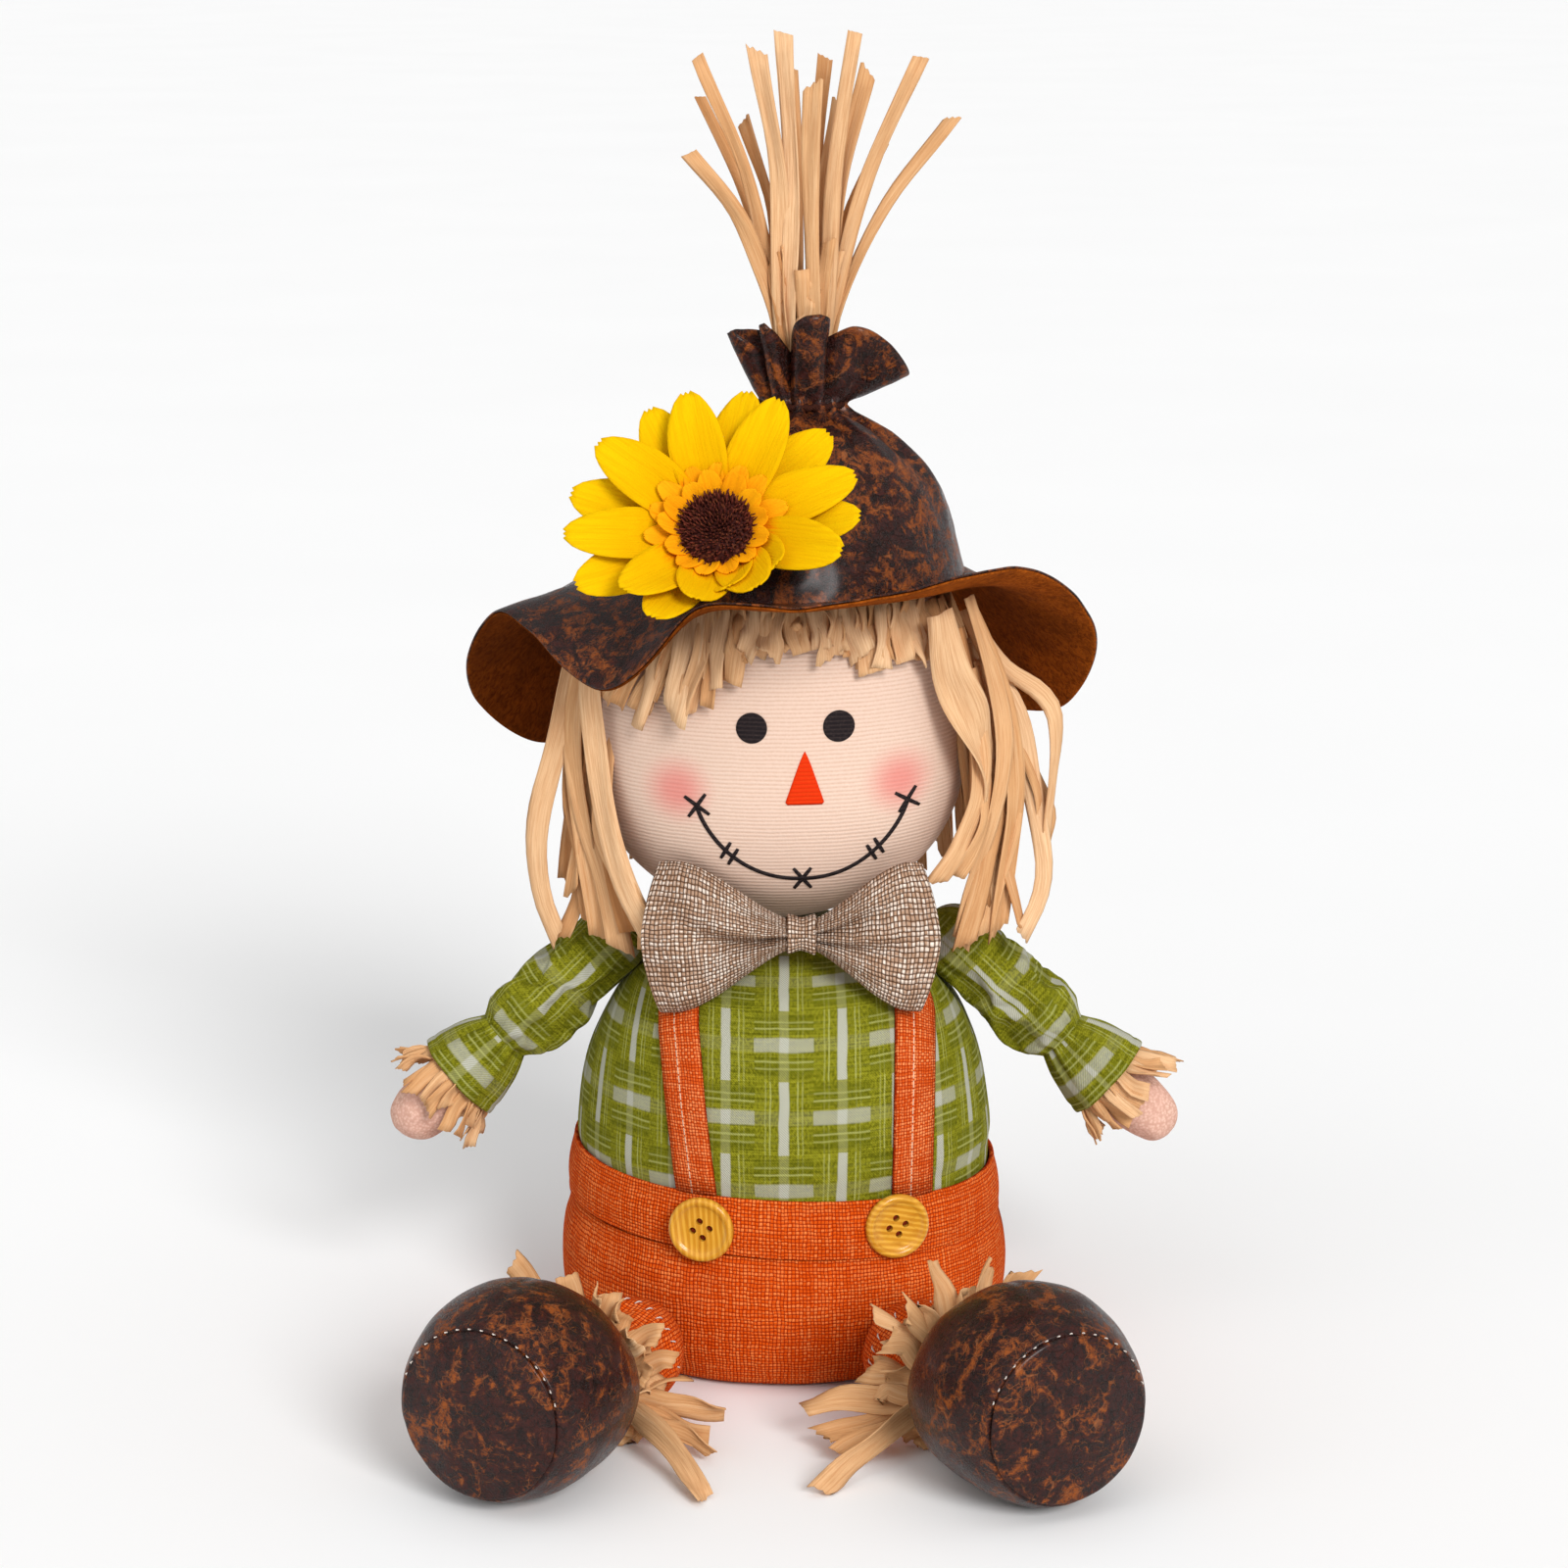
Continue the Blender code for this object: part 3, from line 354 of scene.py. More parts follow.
def puff(piece, pinned, grow=0.02, pressure=4.0, frames=18, cap=4.0, stiffness=15.0):
    """Fills a closed cover by cloth simulation: its cloth is a little too large, its seams stay where they are.

    pinned takes a table of points in millimetres and says how firmly each is held, from 0 to 1.
    """
    count = len(piece.data.vertices)
    rest = np.zeros(count * 3)
    piece.data.vertices.foreach_get("co", rest)
    rest = rest.reshape(-1, 3)
    mesh = piece.data.copy()
    wobble = 0.02 * np.stack([ripple(rest / MM, 9.0, s, 1) for s in (1, 2, 3)], axis=1) * MM * 10
    mesh.vertices.foreach_set("co", ((rest + wobble) * SIM_SCALE).ravel())
    copy = bpy.data.objects.new("sim", mesh)
    bpy.context.scene.collection.objects.link(copy)
    held = np.clip(pinned(rest / MM), 0.0, 1.0)
    group = copy.vertex_groups.new(name="held")
    for i, weight in enumerate(held):
        if weight > 0.001:
            group.add([i], float(weight), "REPLACE")
    cloth = copy.modifiers.new("cloth", "CLOTH")
    settings = cloth.settings
    settings.quality = 5
    settings.mass = 0.3
    settings.tension_stiffness = stiffness
    settings.compression_stiffness = stiffness
    settings.shear_stiffness = stiffness / 3
    settings.bending_stiffness = 0.4
    settings.air_damping = 4.0
    settings.vertex_group_mass = "held"
    settings.pin_stiffness = 5.0
    settings.shrink_min = -grow
    settings.use_pressure = True
    settings.uniform_pressure_force = pressure
    settings.effector_weights.gravity = 0.0
    cloth.collision_settings.use_collision = False
    cloth.point_cache.frame_end = frames
    scene = bpy.context.scene
    for step in range(1, frames + 1):
        scene.frame_set(step)
    shaped = copy.evaluated_get(bpy.context.evaluated_depsgraph_get())
    moved = np.zeros(count * 3)
    shaped.data.vertices.foreach_get("co", moved)
    shift = moved.reshape(-1, 3) / SIM_SCALE - rest
    length = np.linalg.norm(shift, axis=1, keepdims=True)
    limit = cap * MM
    shift *= np.where(length > limit, limit / np.maximum(length, 1e-12), 1.0)
    bpy.data.objects.remove(copy, do_unlink=True)
    bpy.data.meshes.remove(mesh)
    scene.frame_set(1)
    piece.data.vertices.foreach_set("co", (rest + shift).astype(np.float32).ravel())
    piece.data.update()


# ---------------------------------------------------------------- materials


def srgb(red, green, blue):
    """Linear colour of a tone given as 0 to 255."""
    tones = (red / 255, green / 255, blue / 255)
    return tuple(v / 12.92 if v < 0.0404 else ((v + 0.055) / 1.055) ** 2.4 for v in tones) + (1.0,)


class Value:
    """A number in a material, which can be added, multiplied and so on."""

    def __init__(self, make, socket):
        self.make = make
        self.socket = socket

    def __add__(self, other):
        return self.make.math("ADD", self, other)

    def __sub__(self, other):
        return self.make.math("SUBTRACT", self, other)

    def __rsub__(self, other):
        return self.make.math("SUBTRACT", other, self)

    def __mul__(self, other):
        return self.make.math("MULTIPLY", self, other)

    def __truediv__(self, other):
        return self.make.math("DIVIDE", self, other)

    def __abs__(self):
        return self.make.math("ABSOLUTE", self)


class Finish:
    """Builds one node material; each method adds a node and returns its output."""

    def __init__(self, name):
        self.material = bpy.data.materials.new(name)
        self.material.use_nodes = True
        self.tree = self.material.node_tree
        self.shader = self.tree.nodes["Principled BSDF"]

    def put(self, socket, value):
        if isinstance(value, Value):
            value = value.socket
        if isinstance(value, bpy.types.NodeSocket):
            self.tree.links.new(value, socket)
        else:
            socket.default_value = value

    def node(self, kind, values=None, **settings):
        made = self.tree.nodes.new("ShaderNode" + kind)
        for key, value in settings.items():
            setattr(made, key, value)
        for key, value in (values or {}).items():
            self.put(made.inputs[key], value)
        return made

    def math(self, operation, *values):
        made = self.node("Math", operation=operation)
        for socket, value in zip(made.inputs, values):
            self.put(socket, value)
        return Value(self, made.outputs[0])

    def step(self, value, low, high, to=(0.0, 1.0)):
        """Smooth step of a value between two limits."""
        values = {"Value": value, "From Min": low, "From Max": high, "To Min": to[0], "To Max": to[1]}
        made = self.node("MapRange", values, interpolation_type="SMOOTHSTEP")
        return Value(self, made.outputs[0])

    def line(self, value, middle, half, soft):
        """1 on a line of a coordinate, 0 off it."""
        return self.step(abs(value - middle), half + soft, half - soft)

    def mix(self, share, a, b, blend="MIX"):
        made = self.node("Mix", data_type="RGBA", blend_type=blend)
        for index, value in ((0, share), (6, a), (7, b)):
            self.put(made.inputs[index], value)
        return made.outputs[2]

    def cloth(self):
        return self.node("UVMap", uv_map=CLOTH_MAP).outputs[0]

    def place(self):
        """Place on the object in millimetres."""
        coordinate = self.node("TexCoord").outputs["Object"]
        made = self.node("VectorMath", operation="SCALE")
        self.put(made.inputs[0], coordinate)
        made.inputs["Scale"].default_value = 1 / MM
        return made.outputs[0]

    def split(self, vector):
        return [Value(self, part) for part in self.node("SeparateXYZ", {0: vector}).outputs]

    def stretch(self, vector, *factors):
        made = self.node("VectorMath", operation="MULTIPLY")
        self.put(made.inputs[0], vector)
        made.inputs[1].default_value = factors
        return made.outputs[0]

    def noise(self, vector, size, detail=2.0, rough=0.5, warp=0.0):
        """Noise from 0 to 1 with features of the given size in millimetres."""
        values = {"Vector": vector, "Scale": 1 / size, "Detail": detail, "Roughness": rough, "Distortion": warp}
        return Value(self, self.node("TexNoise", values).outputs[0])

    def cells(self, vector, size, feature="F1"):
        made = self.node("TexVoronoi", {"Vector": vector, "Scale": 1 / size}, feature=feature)
        return Value(self, made.outputs[0])

    def tint(self):
        return Value(self, self.node("Attribute", attribute_name=TINT).outputs["Fac"])

    def done(self, colour, roughness, height=None, depth=0.0, **shader):
        """Wires the results up; depth is the relief in millimetres of a height of 1."""
        self.put(self.shader.inputs["Base Color"], colour)
        self.put(self.shader.inputs["Roughness"], roughness)
        for key, value in shader.items():
            self.put(self.shader.inputs[key.replace("_", " ")], value)
        if height is not None:
            made = self.node("Bump", {"Height": height, "Distance": depth * MM, "Strength": 1.0})
            self.put(self.shader.inputs["Normal"], made.outputs[0])
        return self.material


def weave(make, pitch, wander=0.12):
    """Relief of a plain weave with handmade threads, and which of its two threads lies on top."""
    flat = make.cloth()
    shift = make.noise(flat, pitch * 5, 2.0)
    u, v, _ = make.split(flat)
    sway = (shift - 0.5) * (pitch * wander * 10)
    across = make.math("SINE", (u + sway) * (pi / pitch))
    along = make.math("SINE", (v + sway) * (pi / pitch))
    both = across * along
    relief = make.math("POWER", abs(both), 0.6)
    return relief, make.step(both, -0.08, 0.08)


def slubs(make, pitch, length=16.0):
    """Thick and thin threads, along and across."""
    flat = make.cloth()
    weft = make.noise(make.stretch(flat, 1 / length, 1 / pitch, 1.0), 1.0, 1.0)
    warp = make.noise(make.stretch(flat, 1 / pitch, 1 / length, 1.0), 1.0, 1.0)
    return warp, weft


def linen(name, base, light, dark, pitch=1.1, depth=0.28, line=None):
    """Coarse woven cloth with painted shade between its threads; line is the tone of a running stitch down the middle
    of a strap.
    """
    make = Finish(name)
    relief, top = weave(make, pitch)
    warp, weft = slubs(make, pitch)
    threads = [make.mix(make.step(slub, 0.42, 0.66), base, light) for slub in (warp, weft)]
    # painted shade: the cloth goes to its dark tone where the weave's relief is low, between the threads
    colour = make.mix(make.step(relief, 0.75, 0.1), make.mix(top, *threads), dark)
    patches = make.noise(make.place(), 22.0, 3.0)
    colour = make.mix(make.step(patches, 0.35, 0.7, (0.0, 0.22)), colour, dark)
    height = relief + warp * 0.5 + weft * 0.5
    if line:
        u, v, _ = make.split(make.cloth())
        dash = make.step(make.math("SINE", v * (TAU / 2.6)), -0.9, -0.7)
        stitch = make.line(u, STRAP_W / 2, 0.2, 0.1) * dash
        colour = make.mix(stitch, colour, line)
        height = height + stitch * 0.8
    return make.done(colour, 0.92, height, depth, Specular_IOR_Level=0.04)


PLAID_CELL = (17.4, 21.7)
PLAID_AT = (8.7, -2.6)


def even_share(mask, share, rest):
    """A strength of share where the mask is 1 and rest where it is 0."""
    return mask * (share - rest) + rest


def plaid(name):
    """Green shirt cloth: a checkerboard of cells with an upright white stripe or a level white bar."""
    make = Finish(name)
    flat = make.cloth()
    u, v, _ = make.split(flat)
    sway = (make.noise(flat, 7.0, 1.0) - 0.5) * 0.7
    wide, tall = PLAID_CELL
    column = (u + sway + (PLAID_AT[0] + 50 * wide)) / wide
    row = (v + sway + (PLAID_AT[1] + 50 * tall)) / tall
    in_u = (make.math("FRACT", column) - 0.5) * wide
    in_v = (make.math("FRACT", row) - 0.5) * tall
    odd = make.math("FLOORED_MODULO", make.math("FLOOR", column) + make.math("FLOOR", row), 2.0)
    even = 1.0 - odd
    side = abs(in_u)
    away = abs(in_v)
    twill = make.math("SINE", (u + v) * (TAU / 0.75))
    fleck = make.noise(make.stretch(flat, 1.6, 0.9, 1.0), 1.0, 2.0)
    # greens: base, fine level lines, darker bands above and below the bars
    lines = make.noise(make.stretch(flat, 0.05, 1.9, 1.0), 1.0, 1.0)
    base = make.mix(make.step(fleck, 0.3, 0.7), srgb(92, 92, 10), srgb(138, 136, 28))
    base = make.mix(make.step(lines, 0.45, 0.7, (0.0, 0.55)), base, srgb(150, 148, 40))
    base = make.mix(make.step(lines, 0.45, 0.25, (0.0, 0.6)), base, srgb(78, 78, 6))
    dusk = make.line(away, 6.6, 3.0, 0.8)
    base = make.mix(dusk * even_share(even, 0.45, 0.1), base, srgb(76, 80, 4))
    soft_white = srgb(162, 162, 110)
    white = make.mix(make.step(twill, -1.0, 1.0), srgb(150, 152, 128), srgb(206, 204, 200))
    pale = srgb(188, 190, 116)
    upright = make.step(side, 1.75, 1.15)
    colour = make.mix(upright * 0.42, base, soft_white)
    for reach, share in ((4.1, 0.5), (5.5, 0.32)):
        thin = make.line(side, reach, 0.22, 0.2)
        colour = make.mix(thin * even_share(odd, share, 0.14), colour, pale)
    for reach, share in ((5.0, 0.5), (7.1, 0.36)):
        level = make.line(away, reach, 0.28, 0.24)
        colour = make.mix(level * even_share(even, share, 0.05), colour, pale)
    bar = make.step(away, 2.5, 1.7)
    colour = make.mix(bar * even_share(even, 0.58, 0.08), colour, white)
    strong = make.math("MAXIMUM", upright * odd, upright * bar * even)
    colour = make.mix(strong * 0.9, colour, white)
    colour = make.mix(make.step(twill, -0.2, 1.0, (0.0, 0.3)), colour, srgb(120, 122, 50), "MULTIPLY")
    height = twill * 0.35 + fleck * 0.6
    return make.done(colour, 0.88, height, 0.12, Specular_IOR_Level=0.06)


BLUSH = [(-31.5, 181.6, 13.0), (34.4, 183.6, 13.0)]
RIB = 1.25


def ribs(make, where):
    """Level knitted ribs."""
    _, _, z = make.split(where)
    sway = make.noise(where, 9.0, 1.0) * 0.5
    return make.math("SINE", (z + sway) * (TAU / RIB))


def face_knit(name):
    """Pale ribbed knit, painted darker in the troughs of its ribs as shade, with a blush printed on each cheek."""
    make = Finish(name)
    where = make.place()
    wave = ribs(make, where)
    x, y, z = make.split(where)
    fuzz = make.noise(where, 0.7, 2.0)
    # painted shade: the knit is darker in the troughs of its ribs, lighter on their crests
    colour = make.mix(make.step(wave, -1.0, 0.4), srgb(206, 174, 154), srgb(218, 190, 172))
    colour = make.mix(make.step(fuzz, 0.35, 0.7, (0.0, 0.25)), colour, srgb(228, 204, 188))
    front = make.step(y, 0.0, -20.0)
    for bx, bz, radius in BLUSH:
        dx = x - bx
        dz = z - bz
        far = make.math("SQRT", dx * dx + dz * dz)
        share = make.step(far, radius, radius * 0.1, (0.0, 0.72)) * front
        colour = make.mix(share, colour, srgb(212, 112, 106))
    height = wave * 0.5 + fuzz * 0.5
    return make.done(colour, 0.85, height, 0.09, Specular_IOR_Level=0.08)


def hand_knit(name):
    make = Finish(name)
    where = make.place()
    loops = make.cells(where, 0.9)
    soft = make.noise(where, 6.0, 3.0)
    colour = make.mix(make.step(loops, 0.1, 0.8), srgb(222, 184, 166), srgb(196, 152, 134))
    colour = make.mix(make.step(soft, 0.35, 0.7, (0.0, 0.4)), colour, srgb(212, 164, 148))
    return make.done(colour, 0.9, loops, 0.1, Specular_IOR_Level=0.08)


def leather(name, rust, gloss):
    """Dark maroon leather with rubbed rust-coloured patches, fine cracks and a patchy shine."""
    make = Finish(name)
    where = make.place()
    patch = make.noise(where, 10.0, 7.0, 0.66, 1.2)
    fine = make.noise(where, 2.8, 9.0, 0.8, 0.9)
    grain = make.cells(where, 0.85)
    crack = make.cells(make.stretch(where, 1.0, 1.0, 1.25), 3.4, "DISTANCE_TO_EDGE")
    rubbed = patch * 0.62 + fine * 0.38
    share = make.step(rubbed, 0.57 - 0.16 * rust, 0.66 - 0.16 * rust)
    dark = make.mix(make.step(fine, 0.4, 0.62), srgb(22, 8, 5), srgb(60, 20, 13))
    warm = make.mix(make.step(fine, 0.42, 0.6), srgb(92, 38, 8), srgb(150, 76, 20))
    colour = make.mix(share * 0.85, dark, warm)
    line = make.step(crack, 0.05, 0.01)
    colour = make.mix(line * make.step(patch, 0.42, 0.62, (0.0, 0.55)), colour, srgb(156, 92, 48))
    rough = make.step(fine, 0.35, 0.65, (gloss - 0.1, gloss + 0.14)) + share * 0.18
    height = grain * 0.35 + patch * 0.9 + fine * 1.1 + line * -0.5
    return make.done(colour, rough, height, 0.5, Specular_IOR_Level=0.16, Coat_Weight=0.2, Coat_Roughness=0.22)


def suede(name):
    """Brown nap on the underside of the leather, painted darker towards -X as shade."""
    make = Finish(name)
    where = make.place()
    nap = make.noise(make.stretch(where, 1.0, 1.0, 0.35), 1.6, 6.0, 0.7, 1.2)
    broad = make.noise(where, 26.0, 3.0)
    colour = make.mix(make.step(nap, 0.35, 0.65), srgb(110, 50, 8), srgb(166, 84, 22))
    colour = make.mix(make.step(broad, 0.4, 0.65, (0.0, 0.45)), colour, srgb(70, 28, 5))
    # painted shade: the suede darkens towards -X, where the brim's left side lies in shade
    x, _, _ = make.split(where)
    colour = make.mix(make.step(x, 10.0, -40.0, (0.0, 0.5)), colour, srgb(44, 14, 2))
    return make.done(colour, 0.95, nap, 0.3, Specular_IOR_Level=0.02)


def raffia(name, light, mid, deep):
    """Paper straw: long fibres, each strip a little darker or lighter than the next."""
    make = Finish(name)
    flat = make.cloth()
    fibre = make.noise(make.stretch(flat, 2.6, 0.07, 1.0), 1.0, 3.0, 0.6)
    streak = make.noise(make.stretch(flat, 0.9, 0.02, 1.0), 1.0, 2.0)
    pulp = make.noise(make.place(), 0.8, 2.0)
    tint = make.tint()
    base = make.mix(make.step(tint, 0.0, 0.55), deep, mid)
    base = make.mix(make.step(tint, 0.45, 1.0), base, light)
    colour = make.mix(make.step(fibre, 0.35, 0.65, (0.45, 0.0)), base, deep)
    colour = make.mix(make.step(streak, 0.5, 0.75, (0.0, 0.4)), colour, light)
    height = fibre + streak * 0.8 + pulp * 0.25
    return make.done(colour, 0.7, height, 0.22, Specular_IOR_Level=0.15)


def petal_cloth(name, base, tip, root, root_end, deep):
    """Printed cloth petal: a warm root, veins along it and a soft edge."""
    make = Finish(name)
    _, v, _ = make.split(make.cloth())
    flat = make.cloth()
    vein = make.noise(make.stretch(flat, 1.3, 0.05, 1.0), 1.0, 3.0, 0.6)
    mesh = make.cells(flat, 0.45)
    broad = make.noise(make.place(), 9.0, 2.0)
    colour = make.mix(make.step(v, root_end, root_end + 22.0), base, tip)
    colour = make.mix(make.step(vein, 0.42, 0.66, (0.0, 0.3)), colour, deep)
    flame = v + (vein - 0.5) * 14.0
    colour = make.mix(make.step(flame, root_end, root_end - 9.0), colour, root)
    colour = make.mix(make.step(make.tint(), 0.5, 0.0, (0.0, 0.25)), colour, deep)
    colour = make.mix(make.step(broad, 0.45, 0.7, (0.0, 0.2)), colour, tip)
    height = vein * 1.4 + mesh * 0.25
    return make.done(colour, 0.85, height, 0.25, Specular_IOR_Level=0.02)


def bristles(name):
    make = Finish(name)
    tint = make.tint()
    speck = make.noise(make.place(), 1.2, 2.0)
    colour = make.mix(tint, srgb(30, 8, 8), srgb(112, 48, 36))
    colour = make.mix(make.step(speck, 0.5, 0.7, (0.0, 0.4)), colour, srgb(150, 84, 50))
    return make.done(colour, 0.7, speck, 0.1, Specular_IOR_Level=0.1)


def wood(name, turn):
    """Turned light wood under varnish, its grain turned by some degrees."""
    make = Finish(name)
    made = make.node("VectorRotate", {"Vector": make.place(), "Angle": radians(turn)}, rotation_type="Y_AXIS")
    where = made.outputs[0]
    along = make.noise(make.stretch(where, 1.0, 1.0, 0.07), 1.5, 3.0, 0.6, 0.4)
    x, _, _ = make.split(where)
    bend = make.noise(where, 14.0, 1.0) * 1.6
    rings = make.math("SINE", (x + bend) * (TAU / 1.7))
    colour = make.mix(make.step(rings, -0.6, 0.9), srgb(198, 136, 34), srgb(220, 164, 58))
    colour = make.mix(make.step(along, 0.45, 0.68, (0.0, 0.5)), colour, srgb(170, 102, 18))
    height = along * 0.5 + rings * 0.12
    return make.done(colour, 0.35, height, 0.06, Coat_Weight=0.3, Coat_Roughness=0.15, Specular_IOR_Level=0.2)


def ink(name, tone, edge):
    """Print on the knit: the ribs show through it."""
    make = Finish(name)
    where = make.place()
    wave = ribs(make, where)
    worn = make.noise(where, 0.6, 2.0)
    colour = make.mix(make.step(worn, 0.5, 0.75, (0.0, 0.35)), tone, edge)
    colour = make.mix(make.step(wave, 0.2, -1.0, (0.0, 0.3)), colour, edge)
    return make.done(colour, 0.8, wave, 0.08, Specular_IOR_Level=0.1)


def thread(name, tone, shade):
    """Twisted sewing thread or cord."""
    make = Finish(name)
    u, v, _ = make.split(make.cloth())
    twist = make.math("SINE", (v + u * 1.6) * (TAU / 0.9))
    fuzz = make.noise(make.place(), 0.5, 2.0)
    colour = make.mix(make.step(twist, -0.8, 0.8), shade, tone)
    return make.done(colour, 0.75, twist * 0.6 + fuzz, 0.12, Specular_IOR_Level=0.1)


def floor_paper(name):
    make = Finish(name)
    speck = make.noise(make.place(), 300.0, 2.0)
    colour = make.mix(speck, (0.90, 0.90, 0.90, 1.0), (0.93, 0.93, 0.93, 1.0))
    return make.done(colour, 0.9, Specular_IOR_Level=0.1)


def make_finishes():
    orange, orange_light, orange_dark = srgb(214, 82, 14), srgb(236, 126, 62), srgb(150, 34, 4)
    strap, strap_light, strap_dark = srgb(208, 84, 26), srgb(240, 142, 84), srgb(158, 40, 4)
    jute, jute_light, jute_dark = srgb(184, 148, 122), srgb(246, 228, 212), srgb(98, 66, 44)
    green, green_light, green_dark = srgb(84, 112, 40), srgb(120, 146, 62), srgb(46, 66, 18)
    yellow, yellow_tip = srgb(216, 162, 2), srgb(226, 180, 5)
    yellow_root, yellow_deep = srgb(222, 100, 4), srgb(206, 140, 2)
    gold, gold_tip, gold_root, gold_deep = srgb(230, 150, 10), srgb(236, 172, 18), srgb(200, 70, 4), srgb(212, 116, 6)
    return {
        "trousers": linen("trouser_linen", orange, orange_light, orange_dark),
        "strap": linen("strap_linen", strap, strap_light, strap_dark, 0.95, 0.25, srgb(236, 190, 160)),
        "burlap": linen("burlap", jute, jute_light, jute_dark, 1.15, 0.7),
        "plaid": plaid("plaid_cloth"),
        "face": face_knit("face_knit"),
        "hand": hand_knit("hand_knit"),
        "leather": leather("rubbed_leather", 0.54, 0.28),
        "shoe": leather("rubbed_leather_shoe", 0.42, 0.32),
        "suede": suede("suede_back"),
        "raffia": raffia("raffia_straw", srgb(228, 190, 148), srgb(210, 162, 114), srgb(174, 112, 60)),
        "petal": petal_cloth("petal_yellow", yellow, yellow_tip, yellow_root, 12.0, yellow_deep),
        "floret": petal_cloth("petal_orange", gold, gold_tip, gold_root, 2.5, gold_deep),
        "bristle": bristles("bristle_maroon"),
        "backing": linen("calyx_green", green, green_light, green_dark, 0.8, 0.2),
        "wood_left": wood("button_wood_left", 4),
        "wood_right": wood("button_wood_right", 78),
        "ink": ink("ink_black", srgb(30, 24, 26), srgb(70, 58, 56)),
        "nose": ink("ink_orange", srgb(212, 46, 2), srgb(218, 66, 14)),
        "white_thread": thread("white_thread", srgb(236, 228, 220), srgb(186, 168, 156)),
        "red_thread": thread("red_thread", srgb(150, 52, 24), srgb(96, 22, 8)),
        "dark_cord": thread("dark_cord", srgb(74, 36, 24), srgb(34, 14, 9)),
    }


FINISH = make_finishes()


# ---------------------------------------------------------------- body


def body_table(profile, levels, count):
    """Front and back panel of a body cover, sewn at the sides, with the flat coordinates of each."""
    half = np.radians(np.linspace(-90, 90, count))
    radius = np.array([smooth(profile, z) for z in levels])
    rise = np.hypot(np.diff(radius), np.diff(levels))
    along = np.concatenate([[0.0], np.cumsum(rise)])
    tables, flats = [], []
    for middle in (0.0, pi):
        turn = half + middle
        x = np.outer(radius, np.sin(turn))
        y = -BODY_RATIO * np.outer(radius, np.cos(turn))
        tables.append(np.stack([x, y, np.repeat(np.array(levels)[:, None], count, 1)], 2))
        u = np.outer(radius, half) + 500 * middle
        flats.append(np.stack([u, np.repeat(along[:, None], count, 1)], 2))
    coords = np.concatenate(flats + [flats[1][:, -1:]], axis=1)
    return np.concatenate(tables, axis=1), coords


def waist_drop(x):
    return -WAIST_TILT * x


def make_shirt():
    levels = list(np.arange(50.0, 124.0, 2.4)) + [125.0, 127.2, 129.2, 130.6]
    table, coords = body_table(SHIRT, levels, 57)
    height = table[..., 2:]
    free = ease(height, 60, 76) * (1 - ease(height, 118, 128))
    table += normals(table, True) * free * 0.7 * ripple(table, 34.0, 3)[..., None]
    piece = Piece()
    piece.closed(table, coords)
    nodes = ("shirt", "torso_stuffing", "ballast_bag")
    shirt = piece.make("shirt", "plaid", "shirt_cloth", replaces=nodes, weld=True)
    puff(shirt, lambda p: np.maximum(1 - ease(p[:, 2], 60, 66), ease(p[:, 2], 116, 124)), 0.015, 3.0, 16, 1.6)
    divide(shirt)
    return shirt


def make_trousers():
    levels = [0.3, 0.35, 0.4, 1.0, 2.0, 3.2, 4.6] + list(np.arange(6.4, 44.5, 2.4)) + [46.0]
    profile = [(0.0, 20.0), (0.3, 40.0)] + TROUSERS
    table, coords = body_table(profile, levels, 57)
    for row, share in ((0, 0.36), (1, 0.75)):
        table[row, :, :2] = table[2, :, :2] * share
    height = table[..., 2:]
    free = ease(height, 4, 14) * (1 - ease(height, 34, 44))
    table += normals(table, True) * free * 0.9 * ripple(table, 30.0, 5)[..., None]
    hem = bump(height, 4.6, 1.0) * -0.5
    table[..., :2] *= 1 + hem / 64
    table[..., 2] += ease(table[..., 2], 20, 44) * waist_drop(table[..., 0]) * (table[..., 2] < 45)
    piece = Piece()
    piece.closed(table, coords)
    trousers = piece.make("trousers", "trousers", "trouser_cloth", replaces=("trousers", "base_panel"), weld=True)
    puff(trousers, lambda p: np.maximum(1 - ease(p[:, 2], 5, 9), ease(p[:, 2], 37, 42)), 0.015, 3.0, 16, 1.6)
    divide(trousers)


def make_waistband():
    """Folded band with a hem line along both edges."""
    low, high = WAIST_BAND
    count = 128
    turn = TAU * np.arange(count) / count
    rows = []
    for share in (0.0, 0.05, 0.1, 0.16, 0.3, 0.5, 0.7, 0.84, 0.9, 0.95, 1.0):
        swell = 0.5 * sin(pi * share) - 0.35 * float(bump(share, 0.13, 0.04) + bump(share, 0.87, 0.04))
        radius = WAIST_R + 0.3 - 1.9 * share**1.5 + swell
        x, y = radius * np.sin(turn), -BODY_RATIO * radius * np.cos(turn)
        z = low + (high - low) * share + waist_drop(x) + 0.35 * np.sin(3 * turn + 1.0) * share
        rows.append(np.stack([x, y, z], 1))
    table = np.array(rows)
    table += normals(table, True) * 0.25 * ripple(table, 9.0, 8)[..., None]
    waistband = ring_sheet(table, 1.5, "waistband", "trousers", "trouser_cloth")
    divide(waistband)


def surface_of(piece):
    """Finds where a ray in millimetres first meets a piece: gives the point and its outward direction."""
    tree = BVHTree.FromPolygons([v.co / MM for v in piece.data.vertices], [p.vertices for p in piece.data.polygons])

    def cast(start, toward):
        start = Vector(start)
        point, normal, _, _ = tree.ray_cast(start, (Vector(toward) - start).normalized())
        return np.array(point), np.array(normal)

    return cast


